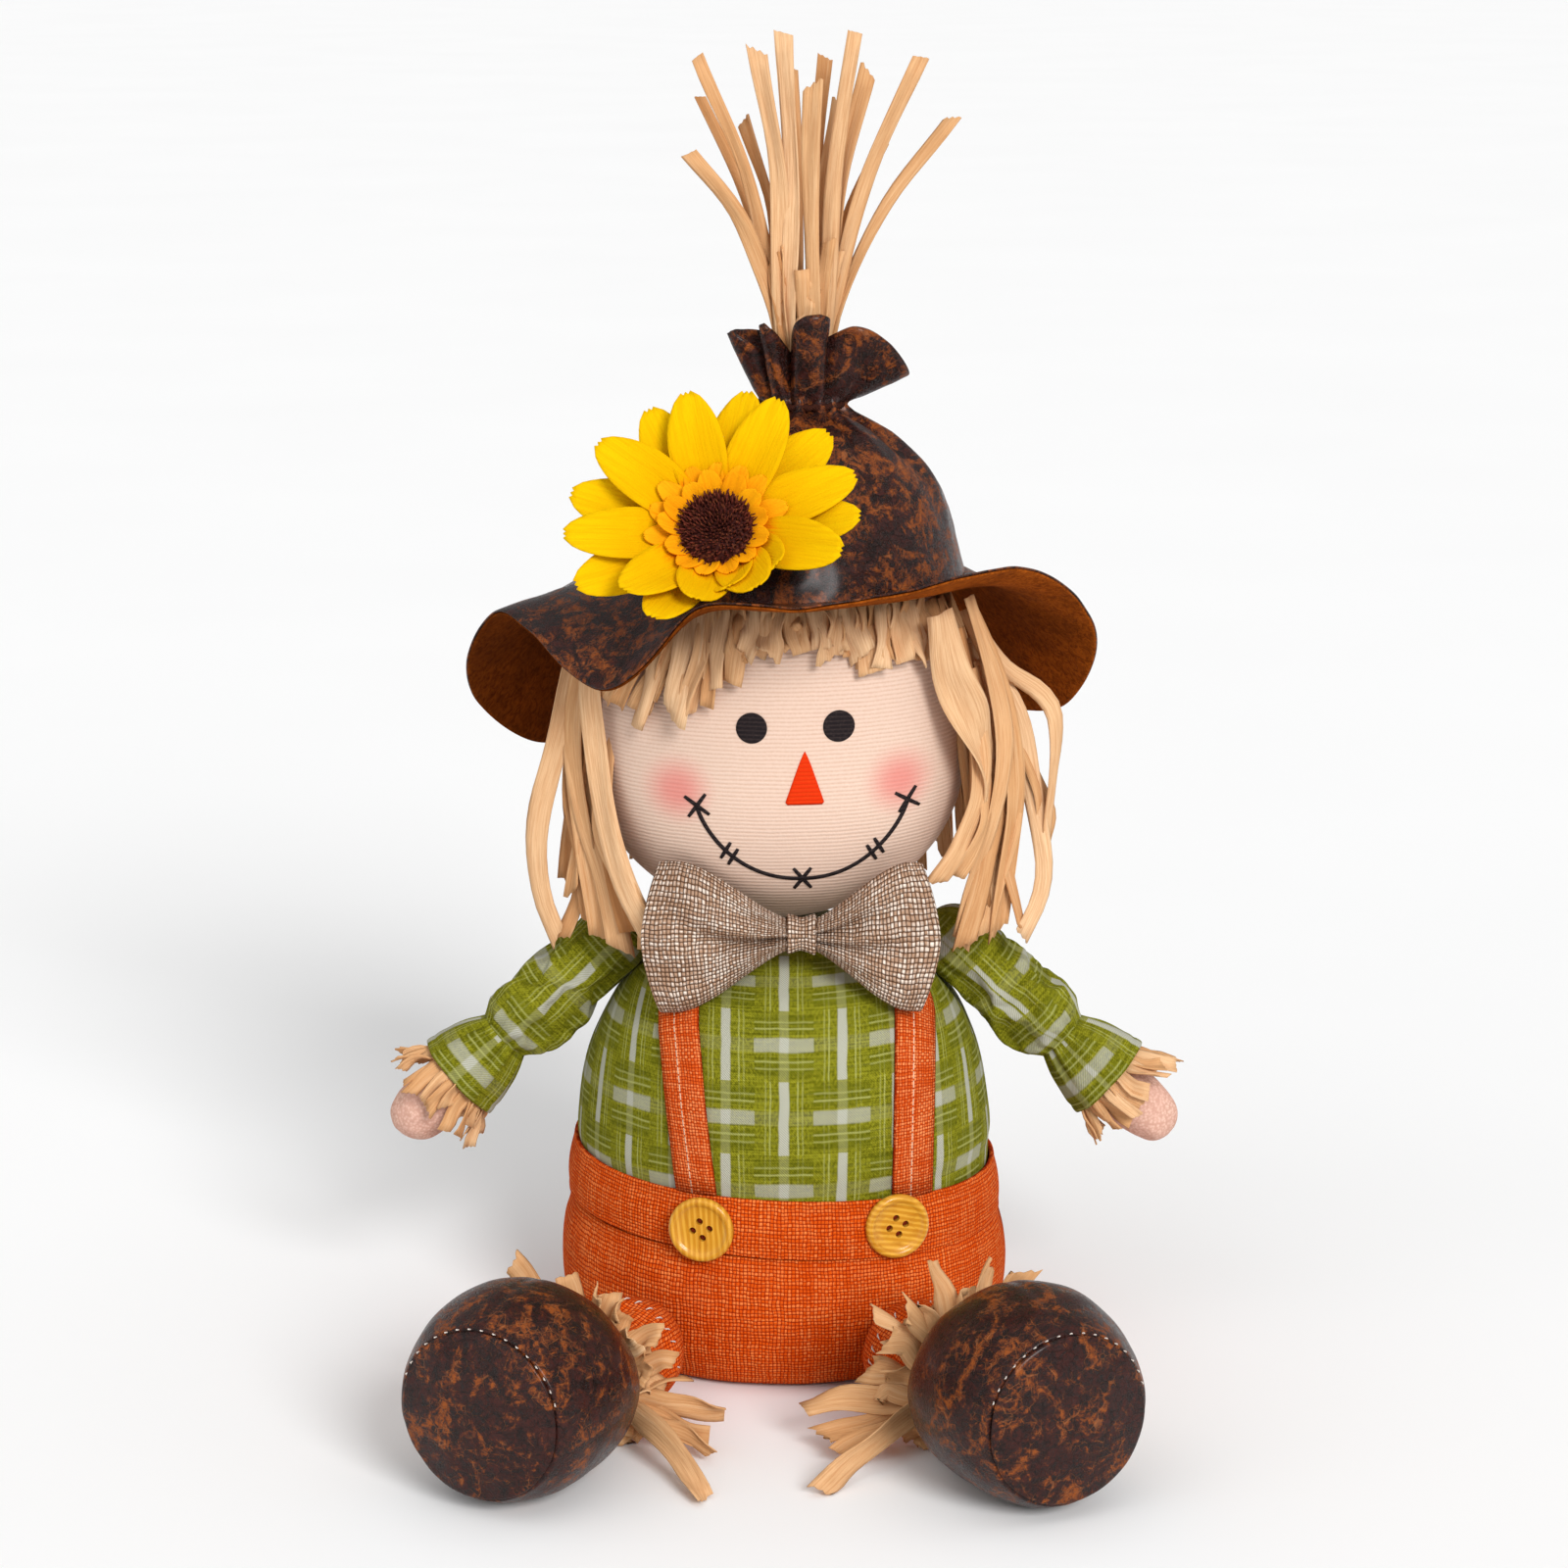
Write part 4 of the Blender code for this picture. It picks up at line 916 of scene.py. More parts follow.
def make_strap(side, cast):
    """Flat band from the waist over the shoulder and down the back, laid on the shirt."""
    low_x, chest_x, high_x = STRAP_X[side]
    turns = list(np.radians(np.linspace(-10, 190, 74)))
    rows = []
    for turn in turns:
        centre = np.array([0.0, 0.0, 86.0])
        if turn < 0 or turn > pi:
            drop = abs(turn if turn < 0 else turn - pi) / radians(10)
            ray_z = 86.0 - drop * (86.0 - 60.2)
            ahead = np.array([0, -1.0 if turn < 0 else 1.0, 0]) * 150
            base = np.array([0.0, 0.0, ray_z + waist_drop(low_x) * drop])
        else:
            base = centre
            ahead = np.array([0, -cos(turn), sin(turn)]) * 150
            ray_z = 86.0 + 40 * sin(turn)
        chest = chest_x + (high_x - chest_x) * ease(turn, 0.7, 1.4)
        x = low_x + (chest - low_x) * float(np.clip((ray_z - 60) / 45, 0, 1))
        row = []
        for edge in np.linspace(-1, 1, 7):
            start = base + ahead + np.array([x + edge * STRAP_W / 2, 0, 0])
            toward = base + np.array([x + edge * STRAP_W / 2, 0, 0])
            point, out = cast(start, toward)
            row.append(point + out * (1.35 - 0.25 * edge**4))
        rows.append(row)
    table = np.array(rows)
    flat = flat_map(table, False)
    piece = Piece()
    piece.sheet(table, 1.3, flat)
    strap = piece.make("strap_" + side, "strap", "strap_cloth")


def make_button(side):
    """Turned four-hole button with a rounded rim, a dished middle and thread in its holes."""
    x, z = BUTTON_AT[side]
    out = unit([0.6 * x, -sqrt(WAIST_R**2 - x**2) / BODY_RATIO, 0])
    at = np.array([x, -BODY_RATIO * sqrt(WAIST_R**2 - x**2), z]) + out * 1.1
    right = np.cross([0, 0, 1.0], out) * (1 if np.cross([0, 0, 1.0], out)[0] > 0 else -1)
    up = np.array([0, 0, 1.0])
    profile = [(-0.2, 4.0), (0.0, 8.6), (0.3, 9.4), (1.0, 9.85), (1.9, 9.95), (2.6, 9.7), (3.05, 9.2), (3.15, 8.6)]
    profile += [(2.9, 7.9), (2.45, 7.45), (2.2, 7.0), (2.05, 5.0), (2.0, 2.0)]

    def spin(t, r, count, cu=0.0, cv=0.0):
        turn = TAU * np.arange(count) / count
        u, v = cu + r * np.cos(turn), cv + r * np.sin(turn)
        return at + np.outer(u, right) + np.outer(v, up) + t * out

    table = np.array([spin(t, r, 64) for t, r in profile])
    button = solid(table, "button_" + side, "wood_" + side, "button")
    threads = Piece()
    for k in range(4):
        a = radians(10 + 90 * k)
        cu, cv = 2.6 * cos(a), 2.6 * sin(a)
        hole = np.array([spin(t, 1.05, 20, cu, cv) for t in (-1.5, 4.0)])
        cutter = solid(hole, "drill", "wood_left", None, replaces=())
        cut = button.modifiers.new("hole", "BOOLEAN")
        cut.operation = "DIFFERENCE"
        cut.object = cutter
        shaped = bpy.data.meshes.new_from_object(button.evaluated_get(bpy.context.evaluated_depsgraph_get()))
        button.modifiers.clear()
        button.data = shaped
        bpy.data.objects.remove(cutter, do_unlink=True)
        plug = np.array([spin(t, r, 12, cu, cv) for t, r in ((-0.1, 0.8), (0.7, 0.85), (1.1, 0.6), (1.2, 0.25))])
        threads.closed(plug, flat_map(plug, True))
    crease(button, 35)
    threads.make("button_thread_" + side, "red_thread", "button", replaces=())


# ---------------------------------------------------------------- bow tie


# Folds of the wings: (their height from the knot outwards, depth, spread)
LEFT_FOLDS = [
    ([(0, 0.0), (0.3, -0.12), (0.6, 0.04), (0.85, 0.36), (1, 0.5)], 5.0, 0.15),
    ([(0, -0.35), (0.5, -0.5), (1, -0.45)], 1.6, 0.2),
    ([(0, 0.6), (0.3, 0.62), (1, 0.8)], 2.2, 0.16),
]
RIGHT_FOLDS = [
    ([(0, 0.15), (0.35, 0.34), (0.7, 0.52), (1, 0.62)], 4.0, 0.14),
    ([(0, -0.2), (0.4, -0.26), (0.8, -0.12), (1, 0.0)], 3.8, 0.15),
    ([(0, -0.6), (0.4, -0.7), (1, -0.7)], 1.6, 0.16),
]


def make_bow():
    """Two soft wings gathered at the knot: each is a flat loop of burlap with folds that spread from the knot."""
    knot = (KNOT_LOW + KNOT_HIGH) / 2
    knot_half = (KNOT_HIGH[0] - KNOT_LOW[0]) / 2
    piece = Piece()
    shapes = {-1: (knot[0] - BOW_LOW[0] + 1.0, 23.4, LEFT_FOLDS), 1: (BOW_HIGH[0] - knot[0], 23.0, RIGHT_FOLDS)}
    for sign, (reach, tall, folds) in shapes.items():
        rows, cols = 44, 48
        front, back = [], []
        for j in range(rows):
            u = j / (rows - 1)
            x = knot_half * 0.3 + (reach - knot_half * 0.3) * u
            high = 4.0 + (tall - 4.0) * sin(pi / 2 * min(u / 0.86, 1.0)) ** 1.5
            line_f, line_b = [], []
            for i in range(cols):
                v = sin(pi / 2 * (-1 + 2 * i / (cols - 1)))
                round_off = max(1 - abs(v) ** 3.0, 0.0) ** 0.5
                swell = (2.4 + 5.6 * sin(pi * min(u * 0.9 + 0.05, 1.0)) ** 0.8) * round_off
                crumple = 0.0
                for path, depth, spread in folds:
                    off = (v - smooth(path, u)) / (spread + 0.08 * u)
                    ridge = exp(-off * off) - 0.28 * exp(-((abs(off) - 1.9) ** 2))
                    crumple += depth * ridge * (1 - u * u) * min(u * 6, 1.0)
                pleat = 0.7 * cos(v * 12 + sign) * (1 - u) ** 4 * round_off
                edge = x - 5.8 * abs(v) ** 1.6 * u**3
                z = v * high - 1.2 * u
                line_f.append((knot[0] + sign * edge, -swell + crumple * round_off - pleat, z))
                line_b.append((knot[0] + sign * edge, 0.7 * swell * (1 - 0.3 * u), z))
            front.append(line_f)
            back.append(line_b[::-1])
        table = np.concatenate([np.array(front), np.array(back)], axis=1)
        table[..., 1] += BOW_MID_Y - 0.2 + 1.5 * ((table[..., 0] - knot[0]) / reach) ** 2
        table[..., 2] += knot[2]
        table[..., 1] += 0.6 * ripple(table, 8.0, 20 + sign)
        piece.closed(table[:, ::-1] if sign > 0 else table, flat_map(table, True))
    bow = piece.make("bow_tie_wings", "burlap", "burlap")
    fix_normals(bow)
    table = []
    count = 40
    for share in np.linspace(0, 1, 11):
        x = knot[0] + (share - 0.5) * 2 * knot_half
        flare = 0.9 + 0.12 * cos(pi * 2 * share)
        turn = TAU * np.arange(count) / count
        z = 5.4 * flare * np.sign(np.sin(turn)) * np.abs(np.sin(turn)) ** 0.75
        y = -4.9 * flare * np.sign(np.cos(turn)) * np.abs(np.cos(turn)) ** 0.75
        table.append(np.stack([np.full(count, x), y + BOW_MID_Y, z + knot[2]], 1))
    table = np.array(table)
    table += normals(table, True) * 0.35 * ripple(table, 4.0, 31)[..., None]
    loop = ring_sheet(table, 1.2, "bow_tie_knot", "burlap", "burlap")
    fix_normals(loop)
    divide(bow)
    divide(loop)


# ---------------------------------------------------------------- head


def head_share(z):
    """Share of the head's full width at a height."""
    away = z - HEAD_MID[2]
    if away < 0:
        return sqrt(max(1 - (-away / HEAD_DOWN) ** 2, 0.0))
    return sqrt(max(1 - (away / HEAD_UP) ** 2.6, 0.0))


def head_point(degrees, z, lift=0.0):
    a = radians(degrees)
    share = head_share(z)
    x = HEAD_MID[0] + (HEAD_RX * share + lift) * sin(a)
    return np.array([x, HEAD_MID[1] - (HEAD_RY * share + lift) * cos(a), z])


def make_head():
    """Stuffed ball of ribbed knit."""
    lower = [HEAD_MID[2] - HEAD_DOWN * sin(radians(a)) for a in np.linspace(84, 0, 26)]
    upper = [HEAD_MID[2] + HEAD_UP * sin(radians(a)) for a in np.linspace(3, 76, 26)]
    degrees = np.linspace(0, 360, 112, endpoint=False)
    table = np.array([[head_point(d, z) for d in degrees] for z in lower + upper])
    table += normals(table, True) * 0.5 * ripple(table, 40.0, 41)[..., None]
    head = solid(table, "head", "face", "face_knit", replaces=("head_cover", "head_stuffing"))
    divide(head)
    return head


EYES = [(-9.5, 201.4, 4.55), (16.1, 201.6, 4.65)]
NOSE = (6.1, 178.4, 194.6, 5.6)  # middle, foot, tip, half width
MOUTH = (5.5, 31.2, 177.2, 23.4)  # middle, half width, height of its ends, depth
LINE_W = 1.15


def mouth_point(share):
    """Point of the smile, with share from -1 to 1."""
    middle, half, top, depth = MOUTH
    return np.array([middle + half * share, top - depth * max(1 - abs(share) ** 2.2, 0.0) ** 0.75])


def print_on(piece, cast, table, lift=0.12, thick=0.24):
    """Lays a table of (x, z) places on the face as a thin printed patch."""
    rows = []
    for line in table:
        row = []
        for x, z in line:
            point, out = cast((x, -200.0, z), (x, 0.0, z))
            row.append(point + out * lift)
        rows.append(row)
    piece.sheet(np.array(rows), thick)


def stroke(piece, cast, start, end, width=LINE_W, taper=0.75):
    """A short hand-drawn line between two places on the face."""
    start, end = np.array(start, float), np.array(end, float)
    along = end - start
    side = unit([-along[1], along[0]]) * width / 2
    table = []
    for share in np.linspace(0, 1, 7):
        part = 1 - (1 - taper) * abs(2 * share - 1) ** 3
        middle = start + along * share
        table.append([middle + side * part * e for e in (1, 0, -1)])
    print_on(piece, cast, table)


def make_face(cast):
    """Eyes, nose and stitched smile, printed on the knit."""
    ink_piece = Piece()
    for x, z, radius in EYES:
        table = []
        for a in np.radians(np.linspace(-88, 88, 25)):
            half = radius * cos(a)
            table.append([(x + half * e, z + radius * sin(a)) for e in np.linspace(-1, 1, 15)])
        print_on(ink_piece, cast, table)
    shares = np.sin(np.radians(np.linspace(-90, 90, 61)))
    points = [mouth_point(s) for s in shares]
    table = []
    for i, point in enumerate(points):
        ahead = unit(points[min(i + 1, 60)] - points[max(i - 1, 0)])
        side = np.array([-ahead[1], ahead[0]]) * LINE_W / 2
        table.append([point + side * e for e in (1, 0, -1)])
    print_on(ink_piece, cast, table)
    for share in (-1.0, 0.0, 1.0):
        middle = mouth_point(share)
        for turn in ((56, 146) if share else (56, 126)):
            reach = 4.5 * np.array([cos(radians(turn)), sin(radians(turn))])
            stroke(ink_piece, cast, middle - reach, middle + reach)
    for share in (-0.73, -0.66, 0.66, 0.73):
        middle = mouth_point(share)
        lean = radians(62 if share < 0 else 118)
        reach = 3.1 * np.array([cos(lean), sin(lean)])
        stroke(ink_piece, cast, middle - reach, middle + reach)
    ink_piece.make("face_print", "ink", "face_knit", replaces=())
    nose_piece = Piece()
    middle, foot, tip, half = NOSE
    table = []
    for share in np.linspace(0, 1, 21):
        width = half * (1 - share) ** 0.98 * min(1.0, 0.86 + share * 3) + 0.35 * (1 - share**8)
        table.append([(middle + width * e, foot + (tip - foot) * share) for e in np.linspace(-1, 1, 11)])
    print_on(nose_piece, cast, table)
    nose_piece.make("nose_print", "nose", "face_knit", replaces=())


# ---------------------------------------------------------------- hat


def around(table, degrees):
    """Radius and height from a table of (degrees, radius, height) that goes round."""
    turns = [(d + turn, r, z) for turn in (-360, 0, 360) for d, r, z in table]
    radius = smooth([(d, r) for d, r, _ in turns], degrees)
    height = smooth([(d, z) for d, _, z in turns], degrees)
    return radius, height


# Edge of the gathered top: (degrees from the front towards +X, radius, height)
FRILL_EDGE = [
    (-150, 17, 311), (-120, 20, 312), (-100, 21, 311), (-88, 10, 303), (-74, 22, 312), (-64, 21, 312), (-54, 8, 304),
    (-42, 18, 315), (-32, 18, 315), (-21, 8, 306), (-4, 18, 317), (10, 20, 319), (24, 18, 318), (36, 10, 311),
    (52, 20, 315), (72, 27, 310), (92, 32, 300), (112, 26, 300), (132, 12, 304), (155, 20, 312), (176, 12, 307),
    (192, 20, 312),
]


def crown_x(z):
    low, tie = CROWN_X
    share = (z - CROWN[0][0]) / (TIE_Z - CROWN[0][0])
    return low + (tie - low) * min(max(share, 0.0), 1.0)


def make_crown():
    """Leather cone gathered by a cord into pleats, with the pleats opening again above it."""
    degrees = np.arange(0, 360, 1.5)
    turn = np.radians(degrees)
    rows = []
    for z in list(np.arange(238.6, 289.5, 1.5)) + [290.0, 291.0]:
        pull = ease(z, 252, 289) ** 1.2
        pleat = 0.55 * np.cos(13 * turn + 0.5) + 0.3 * np.cos(21 * turn + 2.0) + 0.3 * np.cos(7 * turn + 1.0)
        sag = 0.9 * np.sin(3 * turn + z * 0.06) * bump(z, 268, 14)
        sag += 1.1 * np.sin(2 * turn + 2.4) * bump(z, 252, 12)
        radius = smooth(CROWN, z) + 2.5 * pull * pleat + sag
        x = crown_x(z) + radius * np.sin(turn)
        rows.append(np.stack([x, -radius * np.cos(turn), np.full_like(x, z)], 1))
    edges = [around(FRILL_EDGE, d) for d in degrees]
    for share in np.linspace(0.08, 1.0, 15):
        radius = np.array([11.2 + (r - 11.2) * share**0.85 for r, _ in edges])
        radius += 0.7 * (1 - share) * (0.55 * np.cos(13 * turn + 0.5) + 0.3 * np.cos(21 * turn + 2.0))
        z = np.array([TIE_Z + (h - TIE_Z) * share for _, h in edges])
        x = crown_x(TIE_Z) + radius * np.sin(turn)
        rows.append(np.stack([x, -0.86 * radius * np.cos(turn), z], 1))
    table = np.array(rows)
    table += normals(table, True) * 0.35 * ripple(table, 9.0, 51)[..., None]
    crown = ring_sheet(table, 1.4, "hat_crown", "leather", "hat_leather")
    cord = Piece()
    rings = []
    for k in range(120):
        a = TAU * k / 120
        ring = []
        for i in range(10):
            b = TAU * i / 10
            thick = 1.0 + 0.22 * cos(2 * (b - 14 * a))
            r = 12.2 + thick * cos(b)
            ring.append((crown_x(TIE_Z) + r * sin(a), -r * cos(a), TIE_Z + thick * sin(b)))
        rings.append(ring)
    rings.append(rings[0])
    table = np.array(rings)
    cord.grid(table, flat_map(table, True), wrap=True)
    tie = cord.make("hat_tie", "dark_cord", "tie_cord", weld=True)
    fix_normals(tie)


def make_brim():
    """Wavy leather brim with a suede underside."""
    degrees = np.arange(0, 360, 2.0)
    turn = np.radians(degrees)
    edges = [around(BRIM_EDGE, d) for d in degrees]
    rows = [np.stack([CROWN_X[0] + BRIM_IN * np.sin(turn), -BRIM_IN * np.cos(turn), np.full_like(turn, BRIM_Z)], 1)]
    for share in np.linspace(0, 1, 21):
        radius = np.array([BRIM_FLAT + (r - BRIM_FLAT) * share for r, _ in edges])
        z = np.array([BRIM_Z + (h - BRIM_Z) * share**1.25 for _, h in edges])
        x = CROWN_X[0] + radius * np.sin(turn)
        rows.append(np.stack([x, -radius * np.cos(turn), z], 1))
    table = np.array(rows)
    # rows run outwards here, so the table's outward direction points up
    table = table[:, ::-1]
    out = normals(table, True)
    free = ease(np.linspace(0, 1, len(rows)), 0.1, 0.6)[:, None, None]
    table += out * (0.5 * ripple(table, 14.0, 61)[..., None]) * free
    if out[..., 2].mean() < 0:
        out = -out
    for name, finish, shift in (("hat_brim", "leather", 0.42), ("hat_brim_back", "suede", -0.42)):
        piece = Piece()
        piece.sheet(table + out * shift, 0.8, wrap=True)
        made = piece.make(name, finish, "hat_leather", replaces=("hat_brim",))
        fix_normals(made)
        divide(made)


# ---------------------------------------------------------------- straw


def curve_through(path, count):
    """Evenly numbered points of a rounded curve through a few places."""
    path = np.asarray(path, float)
    steps = np.concatenate([[0.0], np.cumsum(np.linalg.norm(np.diff(path, axis=0), axis=1))])
    places = np.linspace(0, steps[-1], count)
    return np.stack([[smooth(list(zip(steps, path[:, k])), p) for p in places] for k in range(3)], 1)


def strip(piece, path, width, facing, rng, fold=0.22, twist=0.0, tint=0.5, cut=0.0, neck=0.75, rows=15, crumple=0.35):
    """A flat strip of paper straw, folded a little along its middle, cut at an angle at its tip."""
    line = curve_through(path, rows)
    shares = np.linspace(0, 1, rows)
    phase = rng.uniform(0, TAU, 6)
    weight = np.sin(pi * np.clip(shares * 1.6, 0, 1) * 0.5)
    for axis in range(3):
        wave = np.sin(5 * shares + phase[axis]) + 0.4 * np.sin(11 * shares + phase[axis + 3])
        line[:, axis] += crumple * weight * wave
    ahead = np.gradient(line, axis=0)
    ahead /= np.linalg.norm(ahead, axis=1, keepdims=True)
    facing = np.asarray(facing, float)
    table = []
    steps = np.linspace(-1, 1, 7)
    for k, share in enumerate(shares):
        side = unit(np.cross(ahead[k], facing))
        out = np.cross(side, ahead[k])
        a = twist * share + 0.35 * sin(4 * share + phase[0]) + 0.2 * sin(9 * share + phase[1])
        side, out = side * cos(a) + out * sin(a), out * cos(a) - side * sin(a)
        part = neck + (1 - neck) * sin(pi / 2 * min(share * 2.2, 1.0))
        half = width / 2 * part * (1 + 0.1 * sin(7 * share + phase[2]))
        deep = fold * width * sin(3.5 * share + phase[3])
        curl = 0.12 * width * sin(6 * share + phase[4])
        row = [line[k] + side * half * c - out * (deep * (c * c - 0.4) + curl * sin(2.6 * c)) for c in steps]
        if k == rows - 1:
            row = [p + ahead[k] * cut * width * (c + 0.25 * sin(9 * c + phase[5])) for p, c in zip(row, steps)]
        table.append(row)
    table = np.array(table)
    length = np.concatenate([[0.0], np.cumsum(np.linalg.norm(np.diff(line, axis=0), axis=1))])
    start = rng.uniform(0, 300, 2)
    u = start[0] + steps * width / 2
    coords = np.stack(np.meshgrid(u, start[1] + length), axis=2)
    piece.sheet(table, 0.4, coords, tint=tint)


# Tips of the straw on the hat: (x, y, z, width, shade)
TUFT = [
    (-25, -6, 394, 4.2, 0.45), (-25, 8, 381, 3.4, 0.3), (-28, -12, 366, 5.0, 0.5), (-8, -10, 396, 5.6, 0.75),
    (0, -8, 401, 5.2, 0.85), (2, 12, 390, 5.0, 0.4), (9, -12, 386, 5.4, 0.6), (12, 10, 393, 4.4, 0.3),
    (16, 2, 380, 4.6, 0.55), (21, -9, 401, 4.6, 0.7), (25, 6, 389, 5.0, 0.45), (40, -5, 393, 4.6, 0.6),
    (50, -3, 376, 4.2, 0.5), (-12, 14, 374, 4.6, 0.25), (30, 14, 368, 4.4, 0.25), (-3, 4, 362, 5.0, 0.2),
]


def make_tuft():
    """Straw that stands in the gathered top of the hat and spreads."""
    rng = np.random.default_rng(11)
    piece = Piece()
    lean = 6.0
    for x, y, z, width, tint in TUFT:
        aim = unit([x - lean, y * 0.8])
        root = np.array([lean + aim[0] * 5.5, aim[1] * 5.5, 296.0])
        neck = np.array([lean + aim[0] * 6.4 + 0.08 * (x - lean), aim[1] * 6.5, 320.0])
        tip = np.array([x, y, z], float)
        middle = neck + (tip - neck) * 0.5 + np.array([-aim[0] * 2.4, -aim[1] * 2.0, 3.0])
        facing = np.array([0.25 * rng.normal(), -1.0, 0.15])
        twist, cut = rng.uniform(-0.5, 0.5), rng.uniform(-0.5, 0.5)
        strip(piece, [root, neck, middle, tip], width, facing, rng, 0.16, twist, tint, cut, 0.8, 18)
    # crumpled short ends that fill the bundle and lean across each other
    for k in range(18):
        a = TAU * k / 18
        turn = 0.5 * sin(2.3 * k)
        out = 8.5 + 3.0 * sin(1.7 * k)
        root = np.array([lean + 5.4 * sin(a), -5.4 * cos(a), 296.0])
        middle = np.array([lean + 6.4 * sin(a + 0.4 * turn), -6.2 * cos(a + 0.4 * turn), 312.0])
        top = np.array([lean + out * sin(a + turn), -0.8 * out * cos(a + turn), 331.0 + 9.0 * sin(5 * a)])
        facing = np.array([sin(a), -cos(a), 0.0])
        tint = 0.45 + 0.3 * sin(3.1 * k)
        twist, cut = 0.7 * sin(3 * a), 0.5 * sin(7 * a)
        strip(piece, [root, middle, top], 4.6, facing, rng, 0.3, twist, tint, cut, 0.55, 12, 0.8)
    piece.make("raffia_tuft", "raffia", "raffia")


# Locks over the cheeks: (width, shade, twist, points from under the brim to the tip)
LEFT_LOCK = [
    (5.6, 0.75, 0.2,
     [(-55, -16, 236), (-64, -16, 214), (-70, -17, 186), (-74.5, -16, 160), (-73.5, -15, 142), (-68.5, -17, 129)]),
    (5.4, 0.55, 0.1,
     [(-53, -20, 236), (-61, -20, 212), (-63.5, -20, 182), (-60.5, -20, 156), (-58, -20, 142), (-56.5, -20, 131)]),
    (6.2, 0.80, -0.2,
     [(-50, -26, 236), (-57.5, -27, 214), (-57, -29, 192), (-53, -31, 168), (-47, -35, 148), (-38, -40, 132)]),
    (6.6, 0.60, 0.3, [(-52, -16, 230), (-62, -17, 196), (-60, -21, 168), (-54.5, -24, 148), (-49.5, -26, 129)]),
    (6.8, 0.55, -0.5, [(-52, -22, 196), (-54, -27, 166), (-48, -33, 150), (-41.5, -37, 139), (-41, -38, 132)]),
    (3.6, 0.35, 0.4, [(-56, -14, 220), (-66, -15, 178), (-61, -16, 156), (-58.5, -17, 134)]),
    (4.2, 0.40, -0.3, [(-54, -12, 210), (-60, -14, 160), (-64, -14, 140), (-69, -14, 128)]),
    (4.8, 0.25, 0.0, [(-52, -14, 230), (-60, -14, 190), (-57, -18, 160), (-53, -20, 137)]),
    (4.4, 0.20, 0.2, [(-50, -18, 220), (-57, -20, 180), (-52, -26, 156), (-46, -29, 134)]),
]
RIGHT_LOCK = [
    (10.0, 0.80, 0.15, [(46, -38, 234), (50, -36, 216), (55, -31, 199), (60.5, -25, 183), (62, -22, 172)]),
    (5.0, 0.60, 0.1,
     [(55, -22, 236), (62, -23, 212), (65, -22, 190), (63, -23, 168), (57, -24, 146), (54, -24, 130)]),
    (5.4, 0.45, -0.2, [(55, -18, 232), (66, -19, 206), (69, -19, 184), (67.5, -19, 158), (64.5, -22, 132)]),
    (4.4, 0.75, 0.5,
     [(56, -12, 228), (67, -13, 213), (78, -13, 205), (82, -13, 198), (80.5, -13, 178), (79, -14, 160)]),
    (5.0, 0.90, -0.1,
     [(56, -12, 222), (70, -13, 200), (75.5, -14, 178), (78.5, -16, 154), (77, -18, 143), (71.5, -22, 132)]),
    (5.2, 0.65, 0.3, [(56, -28, 206), (59, -28, 176), (53, -33, 162), (45, -37, 153)]),
    (4.4, 0.55, -0.2, [(58, -24, 200), (60, -26, 172), (57, -29, 160), (52.5, -31, 152)]),
    (5.6, 0.40, 0.2, [(56, -22, 214), (65, -21, 176), (61, -22, 154), (54.5, -25, 130)]),
    (4.0, 0.60, -0.4, [(58, -18, 216), (70, -17, 172), (66, -19, 150), (61, -23, 132)]),
    (4.4, 0.30, 0.3, [(54, -14, 220), (64, -14, 176), (67, -17, 152), (72, -21, 134)]),
    (4.8, 0.25, 0.0, [(52, -20, 226), (60, -20, 190), (58, -22, 162), (59, -22, 142)]),
    (5.6, 0.50, 0.6, [(60, -10, 206), (74, -12, 186), (80, -12, 168), (78, -12, 158)]),
]
# Fringe: (x under the brim, x and height of the end, width, shade)
FRINGE = [
    (-39, -53, 204, 5.2, 0.40), (-34, -45, 200, 7.2, 0.60), (-31, -39, 207, 5.0, 0.35), (-26, -34, 203, 7.4, 0.70),
    (-22, -28, 206, 5.4, 0.45), (-18, -22, 213, 6.2, 0.60), (-13, -16, 216, 6.6, 0.35), (-9, -9, 222, 6.8, 0.70),
    (-3, -3, 224, 7.0, 0.55), (3, 4, 222, 6.2, 0.40), (9, 11, 225, 7.2, 0.75), (14, 17, 223, 6.4, 0.50),
    (19, 22, 221, 7.0, 0.65), (24, 26, 219, 6.6, 0.40), (29, 31, 218, 7.0, 0.70), (33, 36, 221, 6.0, 0.50),
    (37, 41, 217, 7.0, 0.60),
]


def front_y(x, z, lift):
    """Depth of the front of the head at a place, with a lift off it."""
    share = head_share(z)
    across = (x - HEAD_MID[0]) / (HEAD_RX * share + lift)
    return -(HEAD_RY * share + lift) * sqrt(max(1 - across**2, 0.02))


